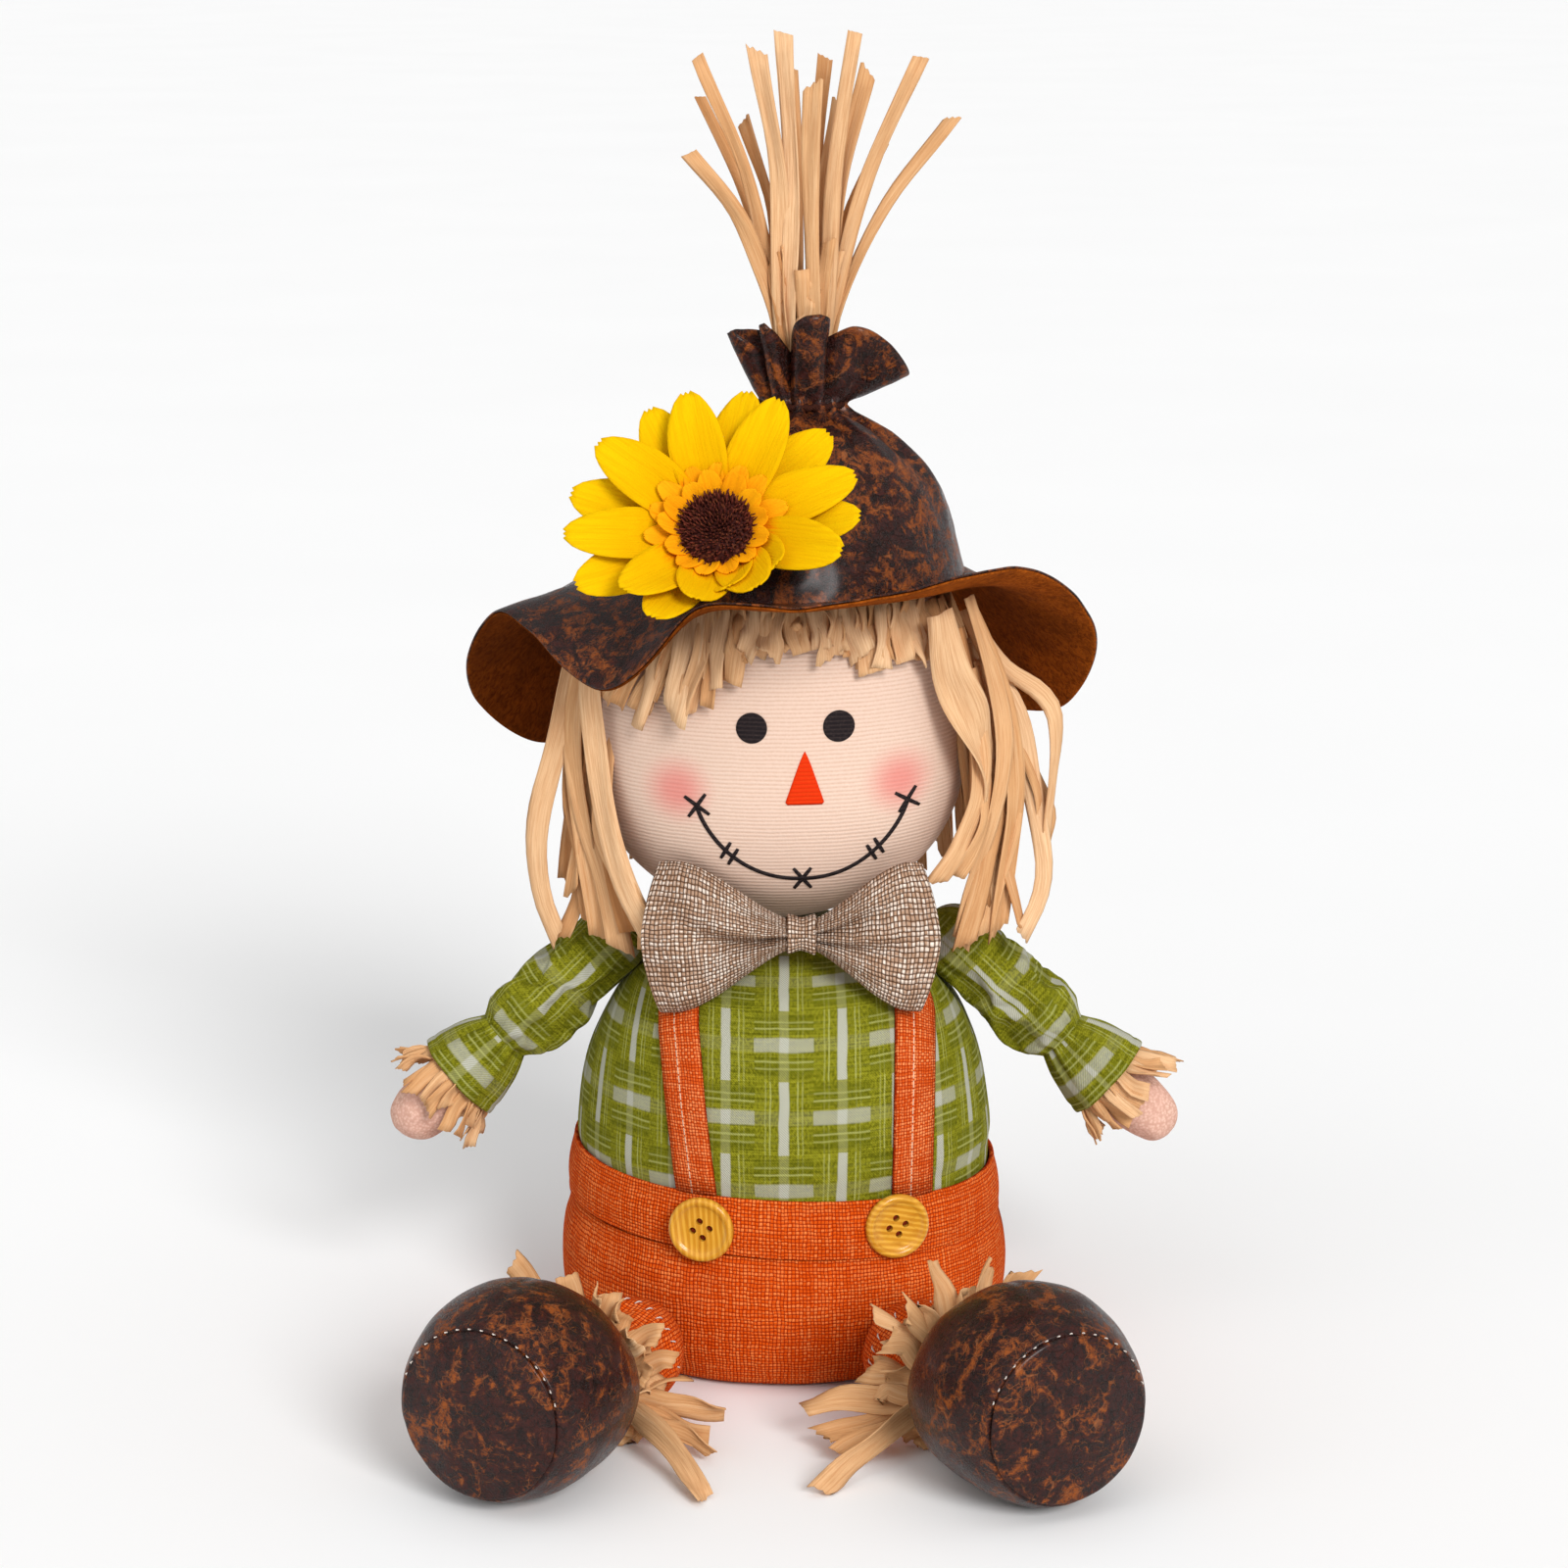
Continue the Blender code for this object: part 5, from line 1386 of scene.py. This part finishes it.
def make_fringe():
    rng = np.random.default_rng(21)
    piece = Piece()
    # painted light: the fringe's outer layer gets a lighter tint than its inner one, to make up for the brim's shadow
    # on it
    for layer, (lift, painted_light_shift) in enumerate(((2.0, 0.0), (3.4, 0.25))):
        for x0, x1, z1, width, tint in FRINGE:
            if layer == 0:
                x0, x1, z1 = x0 + 3.2, x1 + 3.0, z1 + rng.uniform(-1.0, 4.0)
            path = []
            lean = rng.uniform(-3.0, 3.0)
            kick = rng.uniform(0.0, 2.6)
            z1 = z1 + rng.uniform(-2.0, 2.0)
            width = width * rng.uniform(0.85, 1.3)
            for share in (0.0, 0.4, 0.75, 1.0):
                x = x0 + (x1 - x0) * share**1.2 + lean * share**2
                z = 238.0 + (z1 - 238.0) * share
                path.append([x, front_y(x, z, lift + 1.4 * sin(3 * share) + kick * share**2), z])
            facing = unit([x1 * 0.02, -1.0, 0.1])
            twist = rng.uniform(-0.45, 0.45)
            strip(piece, path, width, facing, rng, 0.24, twist, tint + painted_light_shift, rng.uniform(-0.3, 0.3), 0.8, 12)
    piece.make("hair_fringe", "raffia", "raffia")


def make_locks():
    rng = np.random.default_rng(31)
    for name, lock, sign in (("hair_left", LEFT_LOCK, -1), ("hair_right", RIGHT_LOCK, 1)):
        piece = Piece()
        for width, tint, twist, path in lock:
            facing = unit([sign * 0.55, -1.0, 0.1])
            strip(piece, path, width * 1.2, facing, rng, 0.16, twist, tint, rng.uniform(-0.5, 0.5), 0.85, 22, 0.8)
        # the side of the head, behind the front locks
        for k in range(10):
            degrees = sign * (68 + 5.2 * k)
            bottom = 137 + 3 * sign + rng.uniform(0, 20)
            hang(piece, degrees, bottom, rng, 6.2, 2.2 + 5.0 * rng.random(), 0.25 + 0.4 * rng.random())
        piece.make(name, "raffia", "raffia")


def hang(piece, degrees, bottom, rng, width, flare, tint):
    """A strip that follows the head from under the hat and hangs free below its widest part."""
    path = []
    drift = rng.uniform(-5, 5)
    for share in (0.0, 0.25, 0.5, 0.75, 1.0):
        z = 234.0 + (bottom - 234.0) * share
        lift = 2.0 + flare * share**1.6 + 1.2 * sin(4 * share + drift)
        point = head_point(degrees + drift * share, max(z, HEAD_MID[2] - 4), lift)
        point[2] = z
        path.append(point)
    a = radians(degrees)
    facing = np.array([sin(a), -cos(a), 0.1])
    strip(piece, path, width, facing, rng, 0.2, rng.uniform(-0.5, 0.5), tint, rng.uniform(-0.5, 0.5), 0.9, 16)


def make_back_hair():
    rng = np.random.default_rng(41)
    piece = Piece()
    for layer, lift in enumerate((0.0, 2.0)):
        for k in range(22):
            degrees = 112 + 136 * (k + 0.5 * layer) / 21.5
            bottom = 138 + rng.uniform(0, 16)
            hang(piece, degrees, bottom, rng, 7.0, 3.0 + lift + 3.0 * rng.random(), 0.3 + 0.5 * rng.random())
    piece.make("hair_back", "raffia", "raffia")


# ---------------------------------------------------------------- sunflower


def flower_frame():
    """Places a point at (radius, angle, height) on the sunflower."""
    axis = unit(FLOWER_AXIS)
    right = unit(np.cross(axis, [0, 0, -1.0]))
    right = right if right[0] > 0 else -right
    up = np.cross(right, axis)
    up = up if up[2] > 0 else -up
    at = np.array(FLOWER_AT)

    def spot(r, a, t):
        return at + right * (r * cos(a)) + up * (r * sin(a)) + axis * t

    return spot


def petal(piece, spot, angle, length, width, level, start, rise, curl, tint, rng, teeth=1.0):
    """A cloth petal with a creased middle, a raised rim and a toothed tip."""
    out = spot(1, angle, 0) - spot(0, angle, 0)
    lift = spot(0, angle, 1) - spot(0, angle, 0)
    side = spot(1, angle + pi / 2, 0) - spot(0, angle, 0)
    rows, cols = 17, 11
    sway = rng.uniform(-0.12, 0.12)
    roll = rng.uniform(-0.25, 0.25)
    table, coords = [], []
    here = spot(start, angle, level)
    tilt = radians(rise)
    step = (length - start) / (rows - 1)
    offset = rng.uniform(0, 200)
    for j in range(rows):
        share = j / (rows - 1)
        along = out * cos(tilt) + lift * sin(tilt) + side * sway * share
        up = np.cross(along, side)
        up = up * (1 if up @ lift > 0 else -1)
        profile = (0.45 + 0.55 * sin(pi * min(share**0.8, 1.0) * 0.86)) * (1 - 0.93 * share**7) ** 0.5
        half = width / 2 * profile
        row, flat = [], []
        for i in range(cols):
            c = -1 + 2 * i / (cols - 1)
            groove = -0.9 * bump(c, 0, 0.16) + 0.5 * bump(abs(c), 0.45, 0.2)
            cup = (0.13 * width * c * c + 0.35 * groove) * sin(pi * min(share + 0.1, 1.0))
            point = here + side * half * c * cos(roll * share) + up * (cup + roll * share * half * c)
            if share > 0.8:
                tooth = 0.4 * cos(c * pi * 2) * ease(share, 0.8, 1.0) * teeth
                point = point + along * tooth
            row.append(point)
            flat.append((offset + half * c, step * j))
        table.append(row)
        coords.append(flat)
        here = here + along * step
        tilt += radians(curl) / (rows - 1) * (0.6 + 0.8 * share)
    piece.sheet(np.array(table), 0.45, np.array(coords), tint=tint)


# Petals from the first one on, every 40 degrees: (length, rise, curl). The low ones stand up against the brim
FRONT_PETALS = [
    (43, 14, -8), (44, 14, -10), (44, 12, -6), (38, 26, 14), (31, 30, 20), (32, 32, 18), (41, 20, 4), (43, 12, -6),
    (43, 14, -8),
]
BACK_PETALS = [
    (45, 6, -6), (45, 6, -8), (45, 6, -4), (44, 10, 4), (39, 24, 16), (28, 38, 20), (30, 36, 18), (43, 14, 6),
    (44, 6, -4),
]


BRISTLES = 420
GOLDEN_TURN = pi * (3 - sqrt(5))


def make_sunflower():
    spot = flower_frame()
    rng = np.random.default_rng(51)
    for name, first, shapes, level in (
        ("sunflower_petals_front", 105, FRONT_PETALS, 1.4),
        ("sunflower_petals_back", 85, BACK_PETALS, -1.2),
    ):
        piece = Piece()
        for k, (length, rise, curl) in enumerate(shapes):
            angle = radians(first + 360 * k / len(shapes) + rng.uniform(-2, 2))
            petal(piece, spot, angle, length, 16.6, level, 8.0, rise, curl, 0.3 + 0.7 * rng.random(), rng)
        made = piece.make(name, "petal", "petal")
        fix_normals(made)
    piece = Piece()
    for ring, (count, length, rise, level) in enumerate(((15, 21.5, 14, 2.4), (13, 17.5, 30, 3.4))):
        for k in range(count):
            angle = TAU * (k + 0.5 * ring) / count + rng.uniform(-0.06, 0.06)
            petal(piece, spot, angle, length + rng.uniform(-1, 1), 7.4, level, 8.5, rise, 8, rng.random(), rng, 0.6)
    fix_normals(piece.make("sunflower_florets", "floret", "floret"))
    piece = Piece()
    dome = [(2.0, 10.9), (3.4, 11.3), (4.8, 11.0), (6.0, 10.0), (7.0, 8.2), (7.5, 6.0), (7.3, 3.6), (6.9, 1.6)]
    table = np.array([[spot(r, -a, t) for a in TAU * np.arange(48) / 48] for t, r in dome])
    table += 0.25 * ripple(table, 1.6, 71)[..., None]
    piece.closed(table, flat_map(table, True), tint=0.15)
    for k in range(BRISTLES):
        share = (k + 0.5) / BRISTLES
        r = 11.0 * sqrt(share)
        a = k * GOLDEN_TURN
        lean = 0.25 + 0.75 * share
        height = 7.1 - 4.0 * max(share - 0.55, 0) ** 1.4 * 3
        foot = spot(r, a, height - 0.6)
        out, turn, up = rng.uniform(0.6, 1.1), rng.uniform(-0.1, 0.1), rng.uniform(0.6, 1.1)
        tip = spot(r + 2.4 * lean * out, a + turn, height + 2.3 * up * (1.2 - 0.5 * share))
        bristle(piece, foot, tip, 0.42, 0.2 + 0.8 * rng.random() * (0.4 + 0.6 * share))
    fix_normals(piece.make("sunflower_centre", "bristle", "flower_centre"))
    plug = [(-6.6, 8.0), (-6.0, 11.0), (-4.6, 12.0), (-3.2, 11.4), (-2.6, 8.8), (1.0, 8.6), (2.0, 7.0)]
    table = np.array([[spot(r * (1 + 0.05 * cos(8 * a)), -a, t) for a in TAU * np.arange(48) / 48] for t, r in plug])
    fix_normals(solid(table, "sunflower_backing", "backing", "flower_backing"))


def bristle(piece, foot, tip, radius, tint):
    """A small tapered spike."""
    along = unit(tip - foot)
    side = unit(np.cross(along, [0.3, 0.2, 1.0]))
    other = np.cross(along, side)
    rows = []
    for share, part in ((0.0, 1.0), (0.6, 0.75), (1.0, 0.35)):
        middle = foot + (tip - foot) * share
        rows.append([middle + radius * part * (side * cos(a) + other * sin(a)) for a in TAU * np.arange(4) / 4])
    table = np.array(rows)
    piece.closed(table, flat_map(table, True), tint=tint)


# ---------------------------------------------------------------- limbs


def tube(spot, profile, count, wave, flat=1.0):
    """Table of a limb's surface from (along, radius) pairs; wave(turn, along) scales the radius."""
    turn = TAU * np.arange(count) / count
    rows = []
    for t, r in profile:
        radius = r * wave(turn, t)
        rows.append(spot(radius * np.cos(turn), flat * radius * np.sin(turn), np.full(count, float(t))))
    return np.array(rows)


def ball_end(radius):
    return [(-radius * sin(radians(a)), radius * cos(radians(a))) for a in (80, 64, 48, 32, 16)]


def fine(profile, step):
    """A profile's own rounded curve at even steps."""
    first, last = profile[0][0], profile[-1][0]
    count = max(2, round((last - first) / step) + 1)
    return [(t, smooth(profile, t)) for t in np.linspace(first, last, count)]


def make_arm(side):
    at = mirrored(SHOULDER, side)
    spot = limb(at, mirrored(ARM_AXIS, side))
    body = "arm_" + side
    seed = 81 if side == "left" else 91

    def pleats(turn):
        return 0.6 * np.cos(11 * turn + seed) + 0.4 * np.cos(17 * turn + 2 * seed)

    def gathers(turn, t):
        pull = bump(t, 45.5, 6.0) + 0.35 * bump(t, 0.0, 7.0)
        return 1 + 0.10 * pull * pleats(turn)

    table = tube(spot, ball_end(11.4) + fine(SLEEVE, 1.5), 64, gathers)
    table += normals(table, True) * 0.7 * ripple(table, 13.0, seed)[..., None]
    nodes = (body + "_sleeve", body + "_stuffing", body + "_elastic")
    sleeve = solid(table, body + "_sleeve", "plaid", "shirt_cloth", body, nodes)
    axis = unit(mirrored(ARM_AXIS, side))

    def held(points):
        along = (points - np.array(at)) @ axis
        return np.maximum(1 - ease(along, -2, 6), ease(along, 40, 45))

    puff(sleeve, held, 0.05, 3.0, 16, 2.0)
    divide(sleeve)

    def flare(turn, t):
        pull = bump(t, 44.5, 9.0)
        hem = 0.035 * np.cos(6 * turn + seed) * ease(t, 50, 64)
        return 1 + 0.11 * pull * pleats(turn) + hem - 0.03 * bump(t, 61.6, 0.6)

    table = tube(spot, fine(CUFF, 1.0), 72, flare)
    table += normals(table, True) * 0.3 * ripple(table, 8.0, seed + 1)[..., None]
    cuff = ring_sheet(table, 0.9, body + "_cuff", "plaid", "shirt_cloth", body)
    divide(cuff)
    make_hand(body, spot)
    wrist_straw(body, spot, seed)


def make_hand(body, spot):
    """Small knitted mitten with fingers marked by stitched grooves."""

    def fingers(turn, t):
        share = ease(t, 72, 84)
        return 1 - 0.10 * share * np.abs(np.sin(2 * turn + 0.4)) ** 0.5 * 0.8 + 0.04 * np.cos(turn)

    table = tube(spot, fine(HAND, 1.2), 48, fingers, 0.9)
    table += normals(table, True) * 0.6 * ripple(table, 7.0, 101)[..., None]
    hand = solid(table, body + "_hand", "hand", "hand_knit", body)
    divide(hand)


def wrist_straw(body, spot, seed):
    rng = np.random.default_rng(seed)
    piece = Piece()
    for k in range(26):
        a = TAU * (k + rng.uniform(-0.3, 0.3)) / 26
        reach = rng.uniform(7.0, 13.0)
        spread = rng.uniform(1.0, 6.0)
        path = [
            spot(10.6 * cos(a), 10.6 * sin(a), 56.0),
            spot(11.6 * cos(a), 11.6 * sin(a), 63.0),
            spot((12.4 + spread * 0.5) * cos(a), (12.4 + spread * 0.5) * sin(a), 64.0 + reach * 0.5),
            spot((12.6 + spread) * cos(a + 0.1), (12.6 + spread) * sin(a + 0.1), 64.0 + reach),
        ]
        facing = spot(cos(a), sin(a), 0.0) - spot(0.0, 0.0, 0.0)
        width, twist, tint = rng.uniform(3.2, 5.0), rng.uniform(-0.9, 0.9), 0.35 + 0.5 * rng.random()
        strip(piece, path, width, facing, rng, 0.25, twist, tint, rng.uniform(-0.5, 0.5), 0.9, 9)
    piece.make(body + "_raffia", "raffia", "raffia", body)


def hand_stitches(name, body, slot, places, finish, width=0.42):
    """Short visible stitches: each place is (middle, direction, outward, length)."""
    piece = Piece()
    for middle, ahead, out, length in places:
        rows = []
        side = unit(np.cross(ahead, out))
        for share in np.linspace(0, 1, 7):
            part = sin(pi * min(max(share, 0.08), 0.92)) ** 0.5
            centre = middle + ahead * (share - 0.5) * length + out * (0.45 * sin(pi * share))
            turns = TAU * np.arange(8) / 8
            rows.append([centre + width * part * (side * cos(a) + out * sin(a)) for a in turns])
        table = np.array(rows)
        piece.closed(table, flat_map(table, True))
    fix_normals(piece.make(name, finish, slot, body, replaces=()))


def make_leg(side):
    at = np.array(HIP[side])
    spot = limb(at, LEG_AXIS[side])
    body = "leg_" + side
    seed = 111 if side == "left" else 121

    def gathers(turn, t):
        pull = bump(t, 28.0, 5.0)
        return 1 + 0.06 * pull * np.cos(12 * turn + seed)

    table = tube(spot, ball_end(16.2) + fine(LEG, 1.6), 72, gathers)
    table += normals(table, True) * 0.6 * ripple(table, 14.0, seed)[..., None]
    table[..., 2] = np.maximum(table[..., 2], 0.4)
    cover = solid(table, body + "_cover", "trousers", "trouser_cloth", body, (body + "_cover", body + "_stuffing"))
    axis = unit(LEG_AXIS[side])

    def held(points):
        along = (points - at) @ axis
        return np.maximum(1 - ease(along, -2, 5), ease(along, 20, 25))

    puff(cover, held, 0.03, 3.0, 14, 1.5)
    divide(cover)
    places = []
    for degrees in range(-10, 200, 14):
        a = radians(degrees)
        out = unit(spot(cos(a), sin(a), 0.0) - spot(0.0, 0.0, 0.0))
        middle = spot(16.5 * cos(a), 16.5 * sin(a), 2.0 + 0.6 * sin(3 * a))
        if middle[2] > 3.0:
            places.append((middle, unit(axis + 0.5 * np.cross(axis, out)), out, 2.8))
    hand_stitches(body + "_stitches", body, "trouser_cloth", places, "white_thread", 0.24)
    make_shoe(side, body, spot, seed)
    ankle_straw(side, body, spot, seed)


def make_shoe(side, body, spot, seed):
    """Round stuffed leather shoe: an upper with a seam along its top, and an oval sole set in with a piped seam."""
    floor = HIP[side][2]
    count = 96
    turn = TAU * np.arange(count) / count
    rows = []
    stations = np.linspace(SHOE[0][0], SHOE[-1][0], 42)
    for t in stations:
        ru, rv, middle = (smooth([(station[0], station[k]) for station in SHOE], t) for k in (1, 2, 3))
        middle -= floor
        groove = 1 - 0.016 * bump((turn - pi / 2) * 30, 0.0, 1.1) * ease(t, 34, 42)
        pinch = 1 + 0.02 * float(1 - ease(t, 30, 44)) * np.cos(14 * turn)
        wave = groove * pinch
        rows.append(spot(ru * wave * np.cos(turn), middle + rv * wave * np.sin(turn), np.full(count, t)))
    su, sv = SOLE_R
    middle = SHOE[-1][3] - floor
    for share in (0.995, 0.975):
        t = SHOE[-1][0] + 0.25
        rows.append(spot(su * share * np.cos(turn), middle + sv * share * np.sin(turn), np.full(count, t)))
    table = np.array(rows)
    table += normals(table, True) * 0.55 * ripple(table, 16.0, seed)[..., None]
    table[..., 2] = np.maximum(table[..., 2], 0.25)
    nodes = (body + "_shoe_upper", body + "_shoe_stuffing")
    upper = solid(table, body + "_shoe_upper", "shoe", "shoe_leather", body, nodes)
    divide(upper)
    rows = []
    foot = SHOE[-1][0] - 0.6
    for share in (0.93, 0.965, 0.985, 0.97, 0.93, 0.86, 0.76, 0.64, 0.5, 0.36, 0.22, 0.1):
        dome = 2.1 + (SOLE_BULGE - 2.1) * (1 - (share / 0.97) ** 2)
        t = foot + (SOLE_RIM[len(rows)] if len(rows) < len(SOLE_RIM) else dome)
        rows.append(spot(su * share * np.cos(turn), middle + sv * share * np.sin(turn), np.full(count, t)))
    table = np.array(rows)
    table += normals(table, True) * 0.5 * ripple(table, 14.0, seed + 3)[..., None]
    sole = solid(table, body + "_shoe_sole", "shoe", "shoe_leather", body)
    divide(sole)
    axis = unit(LEG_AXIS[side])
    places = []
    for degrees in range(20, 165, 9):
        a = radians(degrees)
        out = unit(spot(cos(a), sin(a), 0.0) - spot(0.0, 0.0, 0.0))
        at = spot(su * 0.995 * cos(a), middle + sv * 0.995 * sin(a), SHOE[-1][0] + 0.3)
        places.append((at, unit(np.cross(axis, out)), unit(axis + out * 0.4), 1.1))
    hand_stitches(body + "_shoe_stitches", body, "shoe_leather", places, "white_thread", 0.24)


# Straw round each ankle that shows from the front: (x, y, z, width, shade) of its tip
ANKLE = {
    "left": [
        (-79, -100, 55, 6.0, 0.45),
        (-70, -104, 50, 5.0, 0.6),
        (-62, -96, 50, 6.4, 0.55),
        (-54, -104, 47, 6.8, 0.65),
        (-47, -108, 44, 6.0, 0.5),
        (-43, -112, 36, 6.6, 0.7),
        (-36, -106, 34, 6.4, 0.45),
        (-38, -108, 24, 6.0, 0.5),
        (-29, -100, 20, 4.6, 0.4),
        (-17, -106, 12, 6.0, 0.4),
        (-22, -112, 6, 5.0, 0.35),
        (-20, -118, 3, 4.0, 0.4),
        (-23, -146, 1.6, 5.6, 0.6),
    ],
    "right": [
        (43, -102, 56, 5.4, 0.5),
        (60, -98, 54, 5.0, 0.6),
        (70, -100, 53, 5.6, 0.45),
        (52, -106, 48, 6.4, 0.6),
        (36, -108, 44, 6.2, 0.5),
        (26, -104, 42, 5.6, 0.65),
        (30, -110, 34, 6.4, 0.55),
        (24, -104, 24, 6.0, 0.45),
        (6, -106, 13, 6.0, 0.5),
        (10, -112, 6, 5.0, 0.35),
        (16, -120, 4, 4.4, 0.4),
        (11, -142, 1.6, 5.6, 0.6),
    ],
}


def ankle_straw(side, body, spot, seed):
    """A ruff of crumpled straw tied round the ankle."""
    rng = np.random.default_rng(seed)
    piece = Piece()
    centre = spot(0.0, -1.0, ANKLE_T)
    axis = unit(LEG_AXIS[side])
    tips = list(ANKLE[side])
    for k in range(18):
        a = TAU * k / 18
        reach = rng.uniform(8, 14)
        end = spot((14 + reach) * cos(a), (14 + reach) * sin(a) - 1.0, ANKLE_T + rng.uniform(-8, 0))
        end[2] = max(end[2], 1.6)
        tips.append((*end, rng.uniform(4.5, 6.5), 0.3 + 0.4 * rng.random()))
    for x, y, z, width, tint in tips:
        tip = np.array([x, y, z], float)
        away = tip - centre
        radial = unit(away - axis * (away @ axis))
        root = centre + radial * 13.4
        low = centre + radial * 13.0 - axis * 2.5
        root[2], low[2] = max(root[2], 1.4), max(low[2], 1.4)
        middle = root + (tip - root) * 0.5 + radial * 1.5 + np.array([0, 0, rng.uniform(0.0, 3.0)])
        middle[2] = max(middle[2], 1.5)
        facing = unit(axis + 0.6 * np.array([0, 0, 1.0]))
        twist, cut = rng.uniform(-1.0, 1.0), rng.uniform(-0.5, 0.5)
        strip(piece, [low, root, middle, tip], width * 1.25, facing, rng, 0.25, twist, tint, cut, 0.85, 14, 0.7)
    made = piece.make(body + "_raffia", "raffia", "raffia", body)
    points = np.array([v.co for v in made.data.vertices])
    points[:, 2] = np.maximum(points[:, 2], 0.3 * MM)
    made.data.vertices.foreach_set("co", points.astype(np.float32).ravel())


# ---------------------------------------------------------------- stage


FLOOR_HALF = 40.0  # metres, like the rest of the stage
FLOOR_GAP = 0.0002
SKY = 0.42
# (name, turn from straight down about X, Y and Z in degrees, strength, softness in degrees)
SUNS = (("key", (62, 0, 24), 2.6, 22), ("fill", (62, 0, -40), 0.5, 60), ("top", (6, 0, 0), 0.6, 80))
LENS = 93.75
AIM_Z = 0.1738
ELEVATION = radians(12.8)
DISTANCE = 1.25


def make_stage():
    """White floor, a key sun with a soft fill and a top one, a pale sky, and the camera."""
    size = FLOOR_HALF
    mesh = bpy.data.meshes.new("floor")
    mesh.from_pydata([(-size, -size, 0), (size, -size, 0), (size, size, 0), (-size, size, 0)], [], [(0, 1, 2, 3)])
    mesh.materials.append(floor_paper("floor_paper"))
    floor = bpy.data.objects.new("floor", mesh)
    floor.location.z = -FLOOR_GAP
    bpy.context.scene.collection.objects.link(floor)
    world = bpy.data.worlds.new("sky")
    world.use_nodes = True
    back = world.node_tree.nodes["Background"]
    back.inputs["Color"].default_value = (1.0, 1.0, 1.0, 1.0)
    back.inputs["Strength"].default_value = SKY
    bpy.context.scene.world = world
    for name, turn, strength, softness in SUNS:
        add_sun(name, turn, strength, softness)
    data = bpy.data.cameras.new("camera")
    data.lens = LENS
    data.sensor_width = 36.0
    camera = bpy.data.objects.new("camera", data)
    aim = Vector((0, 0, AIM_Z))
    camera.location = aim + Vector((0, -cos(ELEVATION), sin(ELEVATION))) * DISTANCE
    camera.rotation_euler = (aim - camera.location).to_track_quat("-Z", "Y").to_euler()
    bpy.context.scene.collection.objects.link(camera)
    bpy.context.scene.camera = camera
    bpy.context.scene.view_settings.view_transform = "Standard"


def add_sun(name, turn, strength, softness):
    data = bpy.data.lights.new(name, "SUN")
    data.energy = strength
    data.angle = radians(softness)
    light = bpy.data.objects.new(name, data)
    light.rotation_euler = tuple(radians(a) for a in turn)
    bpy.context.scene.collection.objects.link(light)


def main():
    shirt = make_shirt()
    make_trousers()
    make_waistband()
    cast = surface_of(shirt)
    for side in ("left", "right"):
        make_strap(side, cast)
        make_button(side)
    make_bow()
    head = make_head()
    make_face(surface_of(head))
    make_crown()
    make_brim()
    make_tuft()
    make_fringe()
    make_locks()
    make_back_hair()
    make_sunflower()
    for side in ("left", "right"):
        make_arm(side)
        make_leg(side)
    make_stage()


main()
